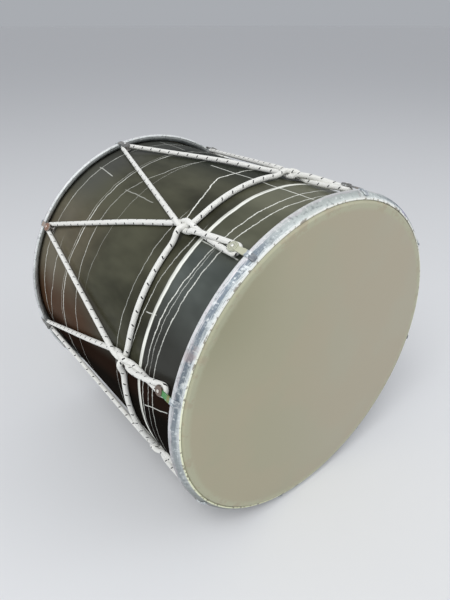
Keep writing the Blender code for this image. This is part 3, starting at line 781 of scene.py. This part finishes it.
def smooth_mesh(name, bm, sharp_angle):
    bmesh.ops.recalc_face_normals(bm, faces=bm.faces)
    mesh = bpy.data.meshes.new(name)
    bm.to_mesh(mesh)
    bm.free()
    mesh.shade_smooth()
    mesh.set_sharp_from_angle(angle=math.radians(sharp_angle))
    return mesh


def turned(name, outline, steps, closed, sharp_angle=35):
    """Spins an outline of (radius, height) points round Z. An open one starts and ends on the axis."""
    bm = bmesh.new()
    points = [bm.verts.new((radius, 0.0, height)) for radius, height in outline]
    edges = [bm.edges.new(pair) for pair in zip(points, points[1:])]
    if closed:
        edges.append(bm.edges.new((points[-1], points[0])))
    turn = {"cent": (0, 0, 0), "axis": (0, 0, 1), "angle": 2 * math.pi}
    bmesh.ops.spin(bm, geom=edges, steps=steps, use_merge=True, **turn)
    bmesh.ops.remove_doubles(bm, verts=bm.verts, dist=SAME_PLACE)
    return smooth_mesh(name, bm, sharp_angle)


def tube_point(along, across):
    """(radius, height) of a point of the tube's leaning section, from lengths towards its slot and across."""
    lean, rise = math.cos(TUBE_TILT), math.sin(TUBE_TILT)
    return (TUBE_MIDDLE - along * lean + across * rise, TUBE_RISE + along * rise + across * lean)


def tube_arc(half_width, half_thickness, start, end, steps):
    """Points on an oval about the tube's middle; angle 0 is the slot side."""
    turns = [math.radians(start + (end - start) / steps * k) for k in range(steps + 1)]
    return [tube_point(half_width * math.cos(t), half_thickness * math.sin(t)) for t in turns]


def bent(before, corner, after, reach, steps):
    """Points that ease a corner of an outline over a distance on either side of it."""
    before, corner, after = Vector(before), Vector(corner), Vector(after)
    start = corner + (before - corner).normalized() * reach
    end = corner + (after - corner).normalized() * reach
    shares = [k / steps for k in range(steps + 1)]
    return [tuple(start.lerp(corner, share).lerp(corner.lerp(end, share), share)) for share in shares]


def end_matrix(rear):
    """Stands a turned piece at a hoop's centre, with its height pointing out of that end of the drum."""
    tip = Matrix.Rotation(math.radians(-90 if rear else 90), 4, "X")
    return Matrix.Translation((0, -FRONT_Y if rear else FRONT_Y, AXIS_HEIGHT)) @ tip


def rounded_lip(start, end):
    """The points of a half circle from one skin of the tube to the other, bulging towards the slot."""
    start, end = Vector(start), Vector(end)
    centre = (start + end) / 2
    arm = start - centre
    bulge = Vector((-arm.y, arm.x))
    if bulge.dot(Vector(tube_point(2 * TUBE_HALF_WIDTH, 0.0)) - centre) < 0:
        bulge.negate()
    turns = [math.radians(30 * k) for k in range(1, 6)]
    return [tuple(centre + arm * math.cos(t) + bulge * math.sin(t)) for t in turns]


def hoop_outline():
    """A flat split tube with rounded lips; the slot is on its edge next to the film."""
    halves = []
    for skin, steps in ((0.0, 56), (TUBE_WALL, 28)):
        half_width, half_thickness = TUBE_HALF_WIDTH - skin, TUBE_HALF_THICKNESS - skin
        slot = math.degrees(math.asin(min(1.0, (SLOT_WIDTH + TUBE_WALL) / 2 / half_thickness)))
        halves.append(tube_arc(half_width, half_thickness, slot, 360 - slot, steps))
    outer, inner = halves[0], halves[1][::-1]
    return outer + rounded_lip(outer[-1], inner[0]) + inner + rounded_lip(inner[-1], outer[0])


def ribbon(middle, thickness):
    """The closed outline of a strip of even thickness along a middle line that starts on the axis."""
    outer, inner = [], []
    for k, point in enumerate(middle):
        here = Vector(point)
        before = Vector(middle[max(k - 1, 0)])
        after = Vector(middle[min(k + 1, len(middle) - 1)])
        into = (here - before).normalized() if k else (after - here).normalized()
        away = (after - here).normalized() if k < len(middle) - 1 else into
        along = (into + away).normalized()
        across = Vector((-along.y, along.x)) * thickness / 2 / max(along.dot(into), 0.5)
        outer.append(tuple(here + across))
        inner.append(tuple(here - across))
    return outer + inner[::-1]


def head_outline():
    """Film: a flat field, a rounded edge, the dip into the hoop's slot, and the fold round the wire."""
    fold_radius = WIRE_RADIUS + GAP + FILM / 2
    edge = (SHELL_RADIUS + GAP, FILM_MID_RISE)
    slot = tube_point(TUBE_HALF_WIDTH, 0.0)
    fold = tube_arc(fold_radius, fold_radius, 0, FILM_FOLD, 14)
    field = [(SHELL_RADIUS * share, FILM_MID_RISE) for share in (0.0, 0.35, 0.7, 0.93)]
    return ribbon(field + bent(field[0], edge, slot, 0.9 * MM, 6) + [slot] + fold, FILM)


def shell_outline():
    inner = SHELL_RADIUS - SHELL_WALL
    edge = SHELL_RADIUS - SHELL_EDGE_CUT
    near = [(inner, SHELL_END_RISE), (edge, SHELL_END_RISE), (SHELL_RADIUS, SHELL_END_RISE - SHELL_EDGE_CUT)]
    far = [(radius, -HOOP_SPACING - height) for radius, height in near[::-1]]
    return near + far


def build_drum_body():
    film = film_finish()
    hoop_metal = {
        "front": hoop_finish("worn_front_aluminium", evenness=1.0, shade_line_depth=0.0),
        "rear": hoop_finish("worn_rear_aluminium", evenness=0.0, shade_line_depth=0.8),
    }
    wire = steel_finish("bead_wire_steel", (0.55, 0.55, 0.56), (0.3, 0.28, 0.26), 90.0)
    plywood = plywood_finish()
    shell = turned("veined_shell", shell_outline(), ROUND_STEPS, True)
    add_piece("veined_shell", shell, shell_finish(), end_matrix(False), "drum", "shell")
    for end_name, rear in (("front", False), ("rear", True)):
        place = end_matrix(rear)
        head = turned(f"{end_name}_film", head_outline(), ROUND_STEPS, False, 60)
        add_piece(f"{end_name}_film", head, film, place, "drum", f"{end_name}_head")
        hoop = turned(f"{end_name}_tube_hoop", hoop_outline(), ROUND_STEPS, True, 50)
        add_piece(f"{end_name}_tube_hoop", hoop, hoop_metal[end_name], place, "drum", f"{end_name}_hoop")
        for node, finish in ((f"{end_name}_bead_wire", wire), (f"{end_name}_reinforcing_ring", plywood)):
            frame["nodes"][node].data.materials.clear()
            frame["nodes"][node].data.materials.append(finish.material)


def hook_angles(end_name):
    """Angles of a row of hooks, from the axes of the rollers' joints, rising from first to last."""
    axes = {joint["child"]: joint["axis"] for joint in frame["joints"]}
    angles = []
    for k in range(HOOKS):
        axis = axes[f"{end_name}_roller_{k + 1}"]
        angle = math.degrees(math.atan2(axis[2], axis[0])) % 360
        angles.append(angle + 360 if angles and angle < angles[-1] else angle)
    return angles


FRONT_ANGLES = hook_angles("front")
REAR_ANGLES = hook_angles("rear")


def front_angle(k):
    return FRONT_ANGLES[k % HOOKS] + 360 * (k // HOOKS)


def rear_angle(k):
    return REAR_ANGLES[k % HOOKS] + 360 * (k // HOOKS)


def hook_matrix(angle, rear):
    """A frame at the hoop's tube: Z points out from the drum's axis, Y towards the middle of the drum."""
    turn = math.radians(angle)
    outward = Vector((math.cos(turn), 0, math.sin(turn)))
    inward_y = Vector((0, -1 if rear else 1, 0))
    across = inward_y.cross(outward)
    turned_frame = Matrix((across, inward_y, outward)).transposed().to_4x4()
    centre = outward * HOOP_RADIUS + Vector((0, -FRONT_Y if rear else FRONT_Y, AXIS_HEIGHT))
    return Matrix.Translation(centre) @ turned_frame


def strap_half_width(run):
    """Half the strap's width at a distance from the rivet: round lug, waist, shoulders, even strap."""
    if run < WAIST_RUN:
        return math.sqrt(max(LUG_RADIUS**2 - run**2, 0.0))
    shoulder = (run - WAIST_RUN) / (HOOK_REACH - 3.5 * MM - WAIST_RUN)
    if shoulder < 1:
        return NECK_HALF_WIDTH + (STRAP_HALF_WIDTH + 0.3 * MM - NECK_HALF_WIDTH) * shoulder**2
    return STRAP_HALF_WIDTH


def claw_point(share, skin):
    """(y, z) in the hook's frame at a share of the claw's length, on one of its two skins."""
    half_width, half_thickness = TUBE_HALF_WIDTH + skin, TUBE_HALF_THICKNESS + skin
    crest = 180 - math.degrees(math.atan(half_thickness / half_width * math.tan(TUBE_TILT)))
    angle = crest + (CLAW_END - crest) * share
    radius, height = tube_arc(half_width, half_thickness, angle, angle, 1)[0]
    return -height, radius - HOOP_RADIUS


def hook_runs():
    """How far from the rivet, towards the hoop, each row across the flat of a hook lies."""
    lug = [-LUG_RADIUS * math.cos(math.radians(a)) for a in range(6, 91, 12)]
    waist = [WAIST_RUN * k / 6 for k in range(1, 7)]
    return lug + waist + [WAIST_RUN + (HOOK_REACH - WAIST_RUN) * k / 9 for k in range(1, 10)]


def hook_row(bm, half_width, y, z):
    """A row of corners across a hook."""
    sides = [2 * c / HOOK_COLUMNS - 1 for c in range(HOOK_COLUMNS + 1)]
    return [bm.verts.new((half_width * side, y, z)) for side in sides]


def hook_skin(bm, height, skin):
    """The rows of one side of a hook: its flat at a height, then its claw round the tube grown by a skin."""
    rows = [hook_row(bm, strap_half_width(run), HOOK_REACH - run, height) for run in hook_runs()]
    for k in range(1, CLAW_ROWS + 1):
        share = k / CLAW_ROWS
        rounding = 0.3 * max(0.0, (share - 0.8) / 0.2) ** 2
        rows.append(hook_row(bm, STRAP_HALF_WIDTH * (1 - rounding), *claw_point(share, skin)))
    return rows


def hook_mesh():
    """A strap bent over the hoop: two sides made of rows across it, and the walls that join them."""
    bm = bmesh.new()
    low = hook_skin(bm, STRAP_INNER, GAP)
    high = hook_skin(bm, STRAP_OUTER, GAP + STRAP)
    last = len(low) - 1
    for rows in (low, high):
        for first, second in zip(rows, rows[1:]):
            for c in range(HOOK_COLUMNS):
                bm.faces.new((first[c], first[c + 1], second[c + 1], second[c]))
    for c in (0, HOOK_COLUMNS):
        for k in range(last):
            bm.faces.new((low[k][c], low[k + 1][c], high[k + 1][c], high[k][c]))
    for k in (0, last):
        for c in range(HOOK_COLUMNS):
            bm.faces.new((low[k][c], low[k][c + 1], high[k][c + 1], high[k][c]))
    return smooth_mesh("hook", bm, 40)


def rounded_step(radius, low, high, ease):
    """The outer edge of a turned disc between two heights, with both corners rounded."""
    angles = [math.radians(a) for a in (0, 30, 60, 90)]
    top = [(radius - ease + ease * math.sin(a), high - ease + ease * math.cos(a)) for a in angles]
    bottom = [(radius - ease + ease * math.cos(a), low + ease - ease * math.sin(a)) for a in angles]
    return top + bottom


def rivet_outline():
    """From the top of the dome down: a flange washer, the shank, and the foot under the roller."""
    seat = STRAP_OUTER + 0.1 * MM
    top = seat + RIVET_FLANGE
    foot = ROLLER_FOOT - GAP
    dome_angles = [math.radians(90 - 15 * k) for k in range(7)]
    dome = [(RIVET_DOME_RADIUS * math.cos(a), top + RIVET_DOME * math.sin(a)) for a in dome_angles]
    dome[0] = (0.0, top + RIVET_DOME)
    ring = [(RIVET_DOME_RADIUS + 0.25 * MM, top - 0.08 * MM), (RIVET_DOME_RADIUS + 0.6 * MM, top)]
    flange = rounded_step(RIVET_FLANGE_RADIUS, seat, top, 0.25 * MM)
    shank = [(RIVET_RADIUS, seat), (RIVET_RADIUS, foot)]
    foot_step = rounded_step(RIVET_FOOT_RADIUS, foot - RIVET_FOOT, foot, 0.2 * MM)
    return dome + ring + flange + shank + foot_step + [(0.0, foot - RIVET_FOOT)]


def roller_outline():
    """A waisted sleeve with a flange at its foot that keeps the rope on."""
    flange = rounded_step(ROLLER_FLANGE_RADIUS, ROLLER_FOOT, ROLLER_FLANGE_TOP, 0.25 * MM)
    collar_foot = ROLLER_TOP - 0.7 * MM
    collar = rounded_step(ROLLER_HUB + 0.5 * MM, collar_foot, ROLLER_TOP, 0.2 * MM)
    hub = [(ROLLER_HUB, collar_foot), (ROLLER_HUB, ROLLER_FLANGE_TOP)]
    return [(ROLLER_BORE, ROLLER_TOP)] + collar + hub + flange + [(ROLLER_BORE, ROLLER_FOOT)]


def ease_edges(strap):
    """Bevels the sharp edges of a hook's strap."""
    ease = strap.modifiers.new("edges", "BEVEL")
    ease.width = 0.22 * MM
    ease.segments = 2
    ease.limit_method = "ANGLE"
    ease.angle_limit = math.radians(50)


def build_hooks():
    strap = hook_mesh()
    rivet = turned("rivet", rivet_outline(), SMALL_STEPS, False, 40)
    roller = turned("roller", roller_outline(), SMALL_STEPS, True, 40)
    roller_steel = steel_finish("roller_steel", (0.6, 0.6, 0.6), (0.34, 0.31, 0.28), 400.0)
    straps = {
        "cream": painted_strap_finish("cream_strap", CREAM, CREAM, rust=0.1, claw_steel_and_reflection=0.85),
        "green": painted_strap_finish("green_strap", GREEN, DARK_BROWN, rust=0.7, claw_steel_and_reflection=0.5),
        "grey": painted_strap_finish("grey_strap", GREY, GREY, rust=0.2, claw_steel_and_reflection=0.3),
        "brown": painted_strap_finish("brown_grey_strap", BROWN_GREY, BROWN_GREY, rust=0.25, claw_steel_and_reflection=0.5),
    }
    # Each rivet: its disc colour, then its dome colour, bright as a painted highlight
    rivets = {
        "cream": rivet_finish("cream_rivet", (0.55, 0.56, 0.44), (0.85, 0.85, 0.78)),
        "green": rivet_finish("brown_rivet", (0.2, 0.15, 0.12), (0.8, 0.78, 0.72)),
        "grey": rivet_finish("grey_rivet", (0.2, 0.2, 0.19), (0.95, 0.95, 0.93)),
        "brown": rivet_finish("copper_rivet", (0.34, 0.2, 0.14), (0.75, 0.66, 0.58)),
    }
    rows = (
        ("front", False, front_angle, ("grey", "cream", "green", "grey", "brown", "grey", "cream", "grey")),
        ("rear", True, rear_angle, ("grey", "grey", "brown", "grey", "brown", "grey", "green", "grey")),
    )
    for end_name, rear, angle_of, paints in rows:
        for k, paint in enumerate(paints):
            place = hook_matrix(angle_of(k), rear)
            axle = place @ Matrix.Translation((0, HOOK_REACH, 0))
            hook = f"{end_name}_hook_{k + 1}"
            pin = f"{end_name}_rivet_{k + 1}"
            spool = f"{end_name}_roller_{k + 1}"
            hooked = add_piece("bent_" + hook, strap.copy(), straps[paint], place, "drum", hook)
            ease_edges(hooked)
            add_piece("domed_" + pin, rivet.copy(), rivets[paint], axle, "drum", pin)
            add_piece("turned_" + spool, roller.copy(), roller_steel, axle, spool, spool)


def place_round(angle, radius, back):
    """The point at an angle round the drum, a radius from its axis and a distance behind the front hoop."""
    turn = math.radians(angle)
    return Vector((radius * math.cos(turn), FRONT_Y + back, AXIS_HEIGHT + radius * math.sin(turn)))


def beside(angle, shift, radius, back):
    """A point that lies a distance along the shell from an angle; positive is towards higher angles."""
    return place_round(angle + math.degrees(shift / ROPE_LOW), radius, back)


def loop_round_roller(angle, rear):
    """Half a turn round a roller on its hoop side, from the lower angle to the higher one."""
    points = 9
    side = 1 if rear else -1
    place = hook_matrix(angle, rear)
    loop = []
    for turn in [math.radians(-90 + 180 / (points - 1) * k) for k in range(points)]:
        aside, inwards = side * LOOP_RADIUS * math.sin(turn), HOOK_REACH - LOOP_RADIUS * math.cos(turn)
        loop.append(place @ Vector((aside, inwards, LOOP_HEIGHT)))
    return loop


def junction_angle(k):
    return front_angle(k) + JUNCTION_STRAY[k % HOOKS]


def strand_spread(back):
    """How far a strand lies from the middle of its junction: none at the crossings, most at the ring rope."""
    if back < FRONT_CROSSING_BACK:
        return -LOOP_RADIUS * (FRONT_CROSSING_BACK - back) / (FRONT_CROSSING_BACK - HOOK_REACH)
    behind = (REAR_CROSSING_BACK - back) / (REAR_CROSSING_BACK - RING_BACK)
    before = (back - FRONT_CROSSING_BACK) / (RING_BACK - FRONT_CROSSING_BACK)
    return STRAND_SPREAD * min(behind, before)


def strand_on_shell(k):
    """Where the lower strand of the rear crossing lies on the shell, on its way to the next hook."""
    share = (REST_BACK - REAR_CROSSING_BACK) / (HOOP_SPACING - HOOK_REACH - REAR_CROSSING_BACK)
    loop_side = math.degrees(LOOP_RADIUS / ROPE_LOW)
    angle = junction_angle(k) * (1 - share) + (rear_angle(k + 1) - loop_side) * share
    return place_round(angle, ROPE_LOW, REST_BACK)


def strand(k, side):
    """Corners of a strand from the rear to the front hook of junction k. Side 1 goes under the ring rope."""
    at_ring, at_crossing = (ROPE_LOW, ROPE_HIGH) if side > 0 else (ROPE_HIGH, ROPE_LOW)
    levels = [
        (RING_BACK + LEVEL_BEHIND_RING + LEVEL_CHANGE, at_crossing),
        (RING_BACK + LEVEL_BEHIND_RING, at_ring),
        (RING_BACK, at_ring),
        (RING_BACK - LEVEL_BEFORE_RING, at_ring),
        (RING_BACK - LEVEL_BEFORE_RING - LEVEL_CHANGE, at_crossing),
        (FRONT_CROSSING_BACK - LEVEL_PAST_CROSSING, at_crossing),
    ]
    corners = [strand_on_shell(k)] if side < 0 else []
    for back, radius in levels:
        share = min(1.0, (back - HOOK_REACH) / (FRONT_CROSSING_BACK - HOOK_REACH))
        middle = front_angle(k) + JUNCTION_STRAY[k % HOOKS] * share
        corners.append(beside(middle, side * strand_spread(back), radius, back))
    return corners


def lacing_corners():
    """(point, squeeze) pairs for the whole lacing, an endless zigzag from hook to hook."""
    route = []
    for k in range(HOOKS):
        route += [(point, ROPE_SQUEEZE) for point in loop_round_roller(rear_angle(k), True)]
        route += [(point, 1.0) for point in strand(k, 1)]
        route += [(point, ROPE_SQUEEZE) for point in loop_round_roller(front_angle(k), False)]
        route += [(point, 1.0) for point in strand(k, -1)[::-1]]
    return route


def ring_corners():
    """(point, squeeze) pairs for the ring rope: under one strand and over the other at each junction."""
    free_points = 7
    route = []
    for k in range(HOOKS):
        levels = [
            (-RING_LOW_START, ROPE_LOW, RING_BACK_BEFORE),
            (-RING_RISE / 2, ROPE_LOW, RING_BACK - RING_SLANT),
            (RING_RISE / 2, ROPE_HIGH, RING_BACK),
            (RING_HIGH_END, ROPE_HIGH, RING_BACK + RING_SLANT),
            (RING_LOW_AGAIN, ROPE_LOW, RING_BACK_AFTER),
        ]
        route += [(beside(junction_angle(k), *level), 1.0) for level in levels]
        start = junction_angle(k) + math.degrees(RING_LOW_AGAIN / ROPE_LOW)
        end = junction_angle(k + 1) - math.degrees(RING_LOW_START / ROPE_LOW)
        for j in range(free_points):
            share = (j + 1) / (free_points + 1)
            back = RING_BACK_AFTER + (RING_BACK_BEFORE - RING_BACK_AFTER) * share
            route.append((place_round(start + (end - start) * share, ROPE_LOW, back), 1.0))
    return route


def eased(route, rounds):
    """Cuts the corners of an endless route again and again, which leaves a smooth curve."""
    for _ in range(rounds):
        cut = []
        for (point, squeeze), (after, after_squeeze) in zip(route, route[1:] + route[:1]):
            reach = min(0.25, LONGEST_CUT / max((after - point).length, SAME_PLACE))
            for share in (reach, 1 - reach):
                cut.append((point.lerp(after, share), squeeze + (after_squeeze - squeeze) * share))
        route = cut
    return route


def rope_normals(points, ways):
    """A normal at each point, carried along without spinning, and the twist left when the rope closes."""
    normals = [(points[0] - Vector((0, points[0].y, AXIS_HEIGHT))).normalized()]
    for way in ways[1:] + ways[:1]:
        normals.append((normals[-1] - way * normals[-1].dot(way)).normalized())
    home = normals.pop()
    return normals, math.atan2(home.cross(normals[0]).dot(ways[0]), home.dot(normals[0]))


def rope_lengths(points):
    """The metres along the rope at each point and at its end, stretched to a whole number of ticks."""
    lengths = [(after - point).length for point, after in zip(points, points[1:] + points[:1])]
    total = sum(lengths)
    stretch = round(total / TICK_PITCH) * TICK_PITCH / total
    along = [0.0]
    for length in lengths:
        along.append(along[-1] + length * stretch)
    return along


def rope_verts(route):
    """Rings of corners round a route."""
    count = len(route)
    points = [point for point, _ in route]
    ways = [(points[(k + 1) % count] - points[k - 1]).normalized() for k in range(count)]
    normals, twist = rope_normals(points, ways)
    verts = []
    for k, (point, squeeze) in enumerate(route):
        binormal = ways[k].cross(normals[k])
        for j in range(ROPE_SIDES):
            turn = 2 * math.pi * j / ROPE_SIDES + twist * k / count
            arm = normals[k] * math.cos(turn) + binormal * math.sin(turn)
            verts.append(point + arm * (ROPE_RADIUS * squeeze))
    return verts


def rope_mesh(name, corners):
    """An endless tube along a route. Its UV map holds the turn round the rope and the metres along it."""
    route = eased(corners, 3)
    along = rope_lengths([point for point, _ in route])
    faces, uvs = [], []
    for k in range(len(route)):
        here, after = k * ROPE_SIDES, (k + 1) % len(route) * ROPE_SIDES
        for j in range(ROPE_SIDES):
            side = (j + 1) % ROPE_SIDES
            faces.append([here + j, here + side, after + side, after + j])
            left, right = j / ROPE_SIDES, (j + 1) / ROPE_SIDES
            uvs += [(left, along[k]), (right, along[k]), (right, along[k + 1]), (left, along[k + 1])]
    mesh = bpy.data.meshes.new(name)
    mesh.from_pydata(rope_verts(route), [], faces)
    layer = mesh.uv_layers.new(name="rope")
    layer.data.foreach_set("uv", [number for pair in uvs for number in pair])
    mesh.shade_smooth()
    mesh.validate()
    return mesh


def build_ropes():
    finish = rope_finish()
    identity = Matrix.Identity(4)
    lacing = rope_mesh("braided_lacing", lacing_corners())
    add_piece("braided_lacing", lacing, finish, identity, "drum", "lacing_rope")
    ring = rope_mesh("braided_ring", ring_corners())
    add_piece("braided_ring", ring, finish, identity, "drum", "ring_rope")


# The studio, in metres and watts, and the camera that was fitted to the photo
FLOOR_DROP = 0.6 * MM
FLOOR_HALF_WIDTH = 80.0
FLOOR_PALE = (0.74, 0.75, 0.76)
SKY_LIGHT = (0.93, 0.95, 1.0, 1.0)
SKY_SEEN = (0.72, 0.75, 0.8, 1.0)
SKY_STRENGTH = 0.55
LAMP_TARGET = Vector((0, 0, 0.18))
LAMPS = (
    ("key", (-1.5, -0.9, 2.4), 1.6, 48.0),
    ("fill", (1.6, -1.9, 1.5), 1.8, 16.0),
)
CAMERA_LENS = 28.49
CAMERA_PLACE = (-0.3335, -0.4233, 0.5044)
CAMERA_TILT = math.radians(59.73)
CAMERA_HEADING = math.radians(-38.78)


def build_floor():
    """A pale floor just under the drum."""
    reach = FLOOR_HALF_WIDTH
    corners = [(x * reach, y * reach, -FLOOR_DROP) for x, y in ((-1, -1), (1, -1), (1, 1), (-1, 1))]
    mesh = bpy.data.meshes.new("floor")
    mesh.from_pydata(corners, [], [(0, 1, 2, 3)])
    floor = bpy.data.objects.new("floor", mesh)
    bpy.context.collection.objects.link(floor)
    pale = Finish("pale_floor", base_color=FLOOR_PALE, roughness=0.9, specular_ior_level=0.1)
    mesh.materials.append(pale.material)


def build_world():
    """A pale world: it lights the drum with one tone and shows the camera another."""
    world = bpy.data.worlds.new("studio")
    world.use_nodes = True
    bpy.context.scene.world = world
    nodes, links = world.node_tree.nodes, world.node_tree.links
    light_path = nodes.new("ShaderNodeLightPath")
    choice = nodes.new("ShaderNodeMix")
    choice.data_type = "RGBA"
    choice.inputs[6].default_value = SKY_LIGHT
    choice.inputs[7].default_value = SKY_SEEN
    links.new(light_path.outputs["Is Camera Ray"], choice.inputs[0])
    links.new(choice.outputs[2], nodes["Background"].inputs["Color"])
    nodes["Background"].inputs["Strength"].default_value = SKY_STRENGTH


def build_lamps():
    """Soft square lamps that look at the drum."""
    for name, place, size, power in LAMPS:
        lamp = bpy.data.objects.new(name, bpy.data.lights.new(name, "AREA"))
        lamp.data.size = size
        lamp.data.energy = power
        lamp.location = place
        lamp.rotation_euler = (LAMP_TARGET - lamp.location).to_track_quat("-Z", "Y").to_euler()
        bpy.context.collection.objects.link(lamp)


def build_camera():
    """The photo's view: the camera was fitted to the outlines of both hoops."""
    camera = bpy.data.objects.new("camera", bpy.data.cameras.new("camera"))
    camera.data.lens = CAMERA_LENS
    camera.location = CAMERA_PLACE
    camera.rotation_euler = (CAMERA_TILT, 0.0, CAMERA_HEADING)
    bpy.context.collection.objects.link(camera)
    bpy.context.scene.camera = camera


def main():
    bpy.context.scene.view_settings.view_transform = "Standard"
    build_camera()
    build_floor()
    build_world()
    build_lamps()
    build_drum_body()
    build_hooks()
    build_ropes()


main()
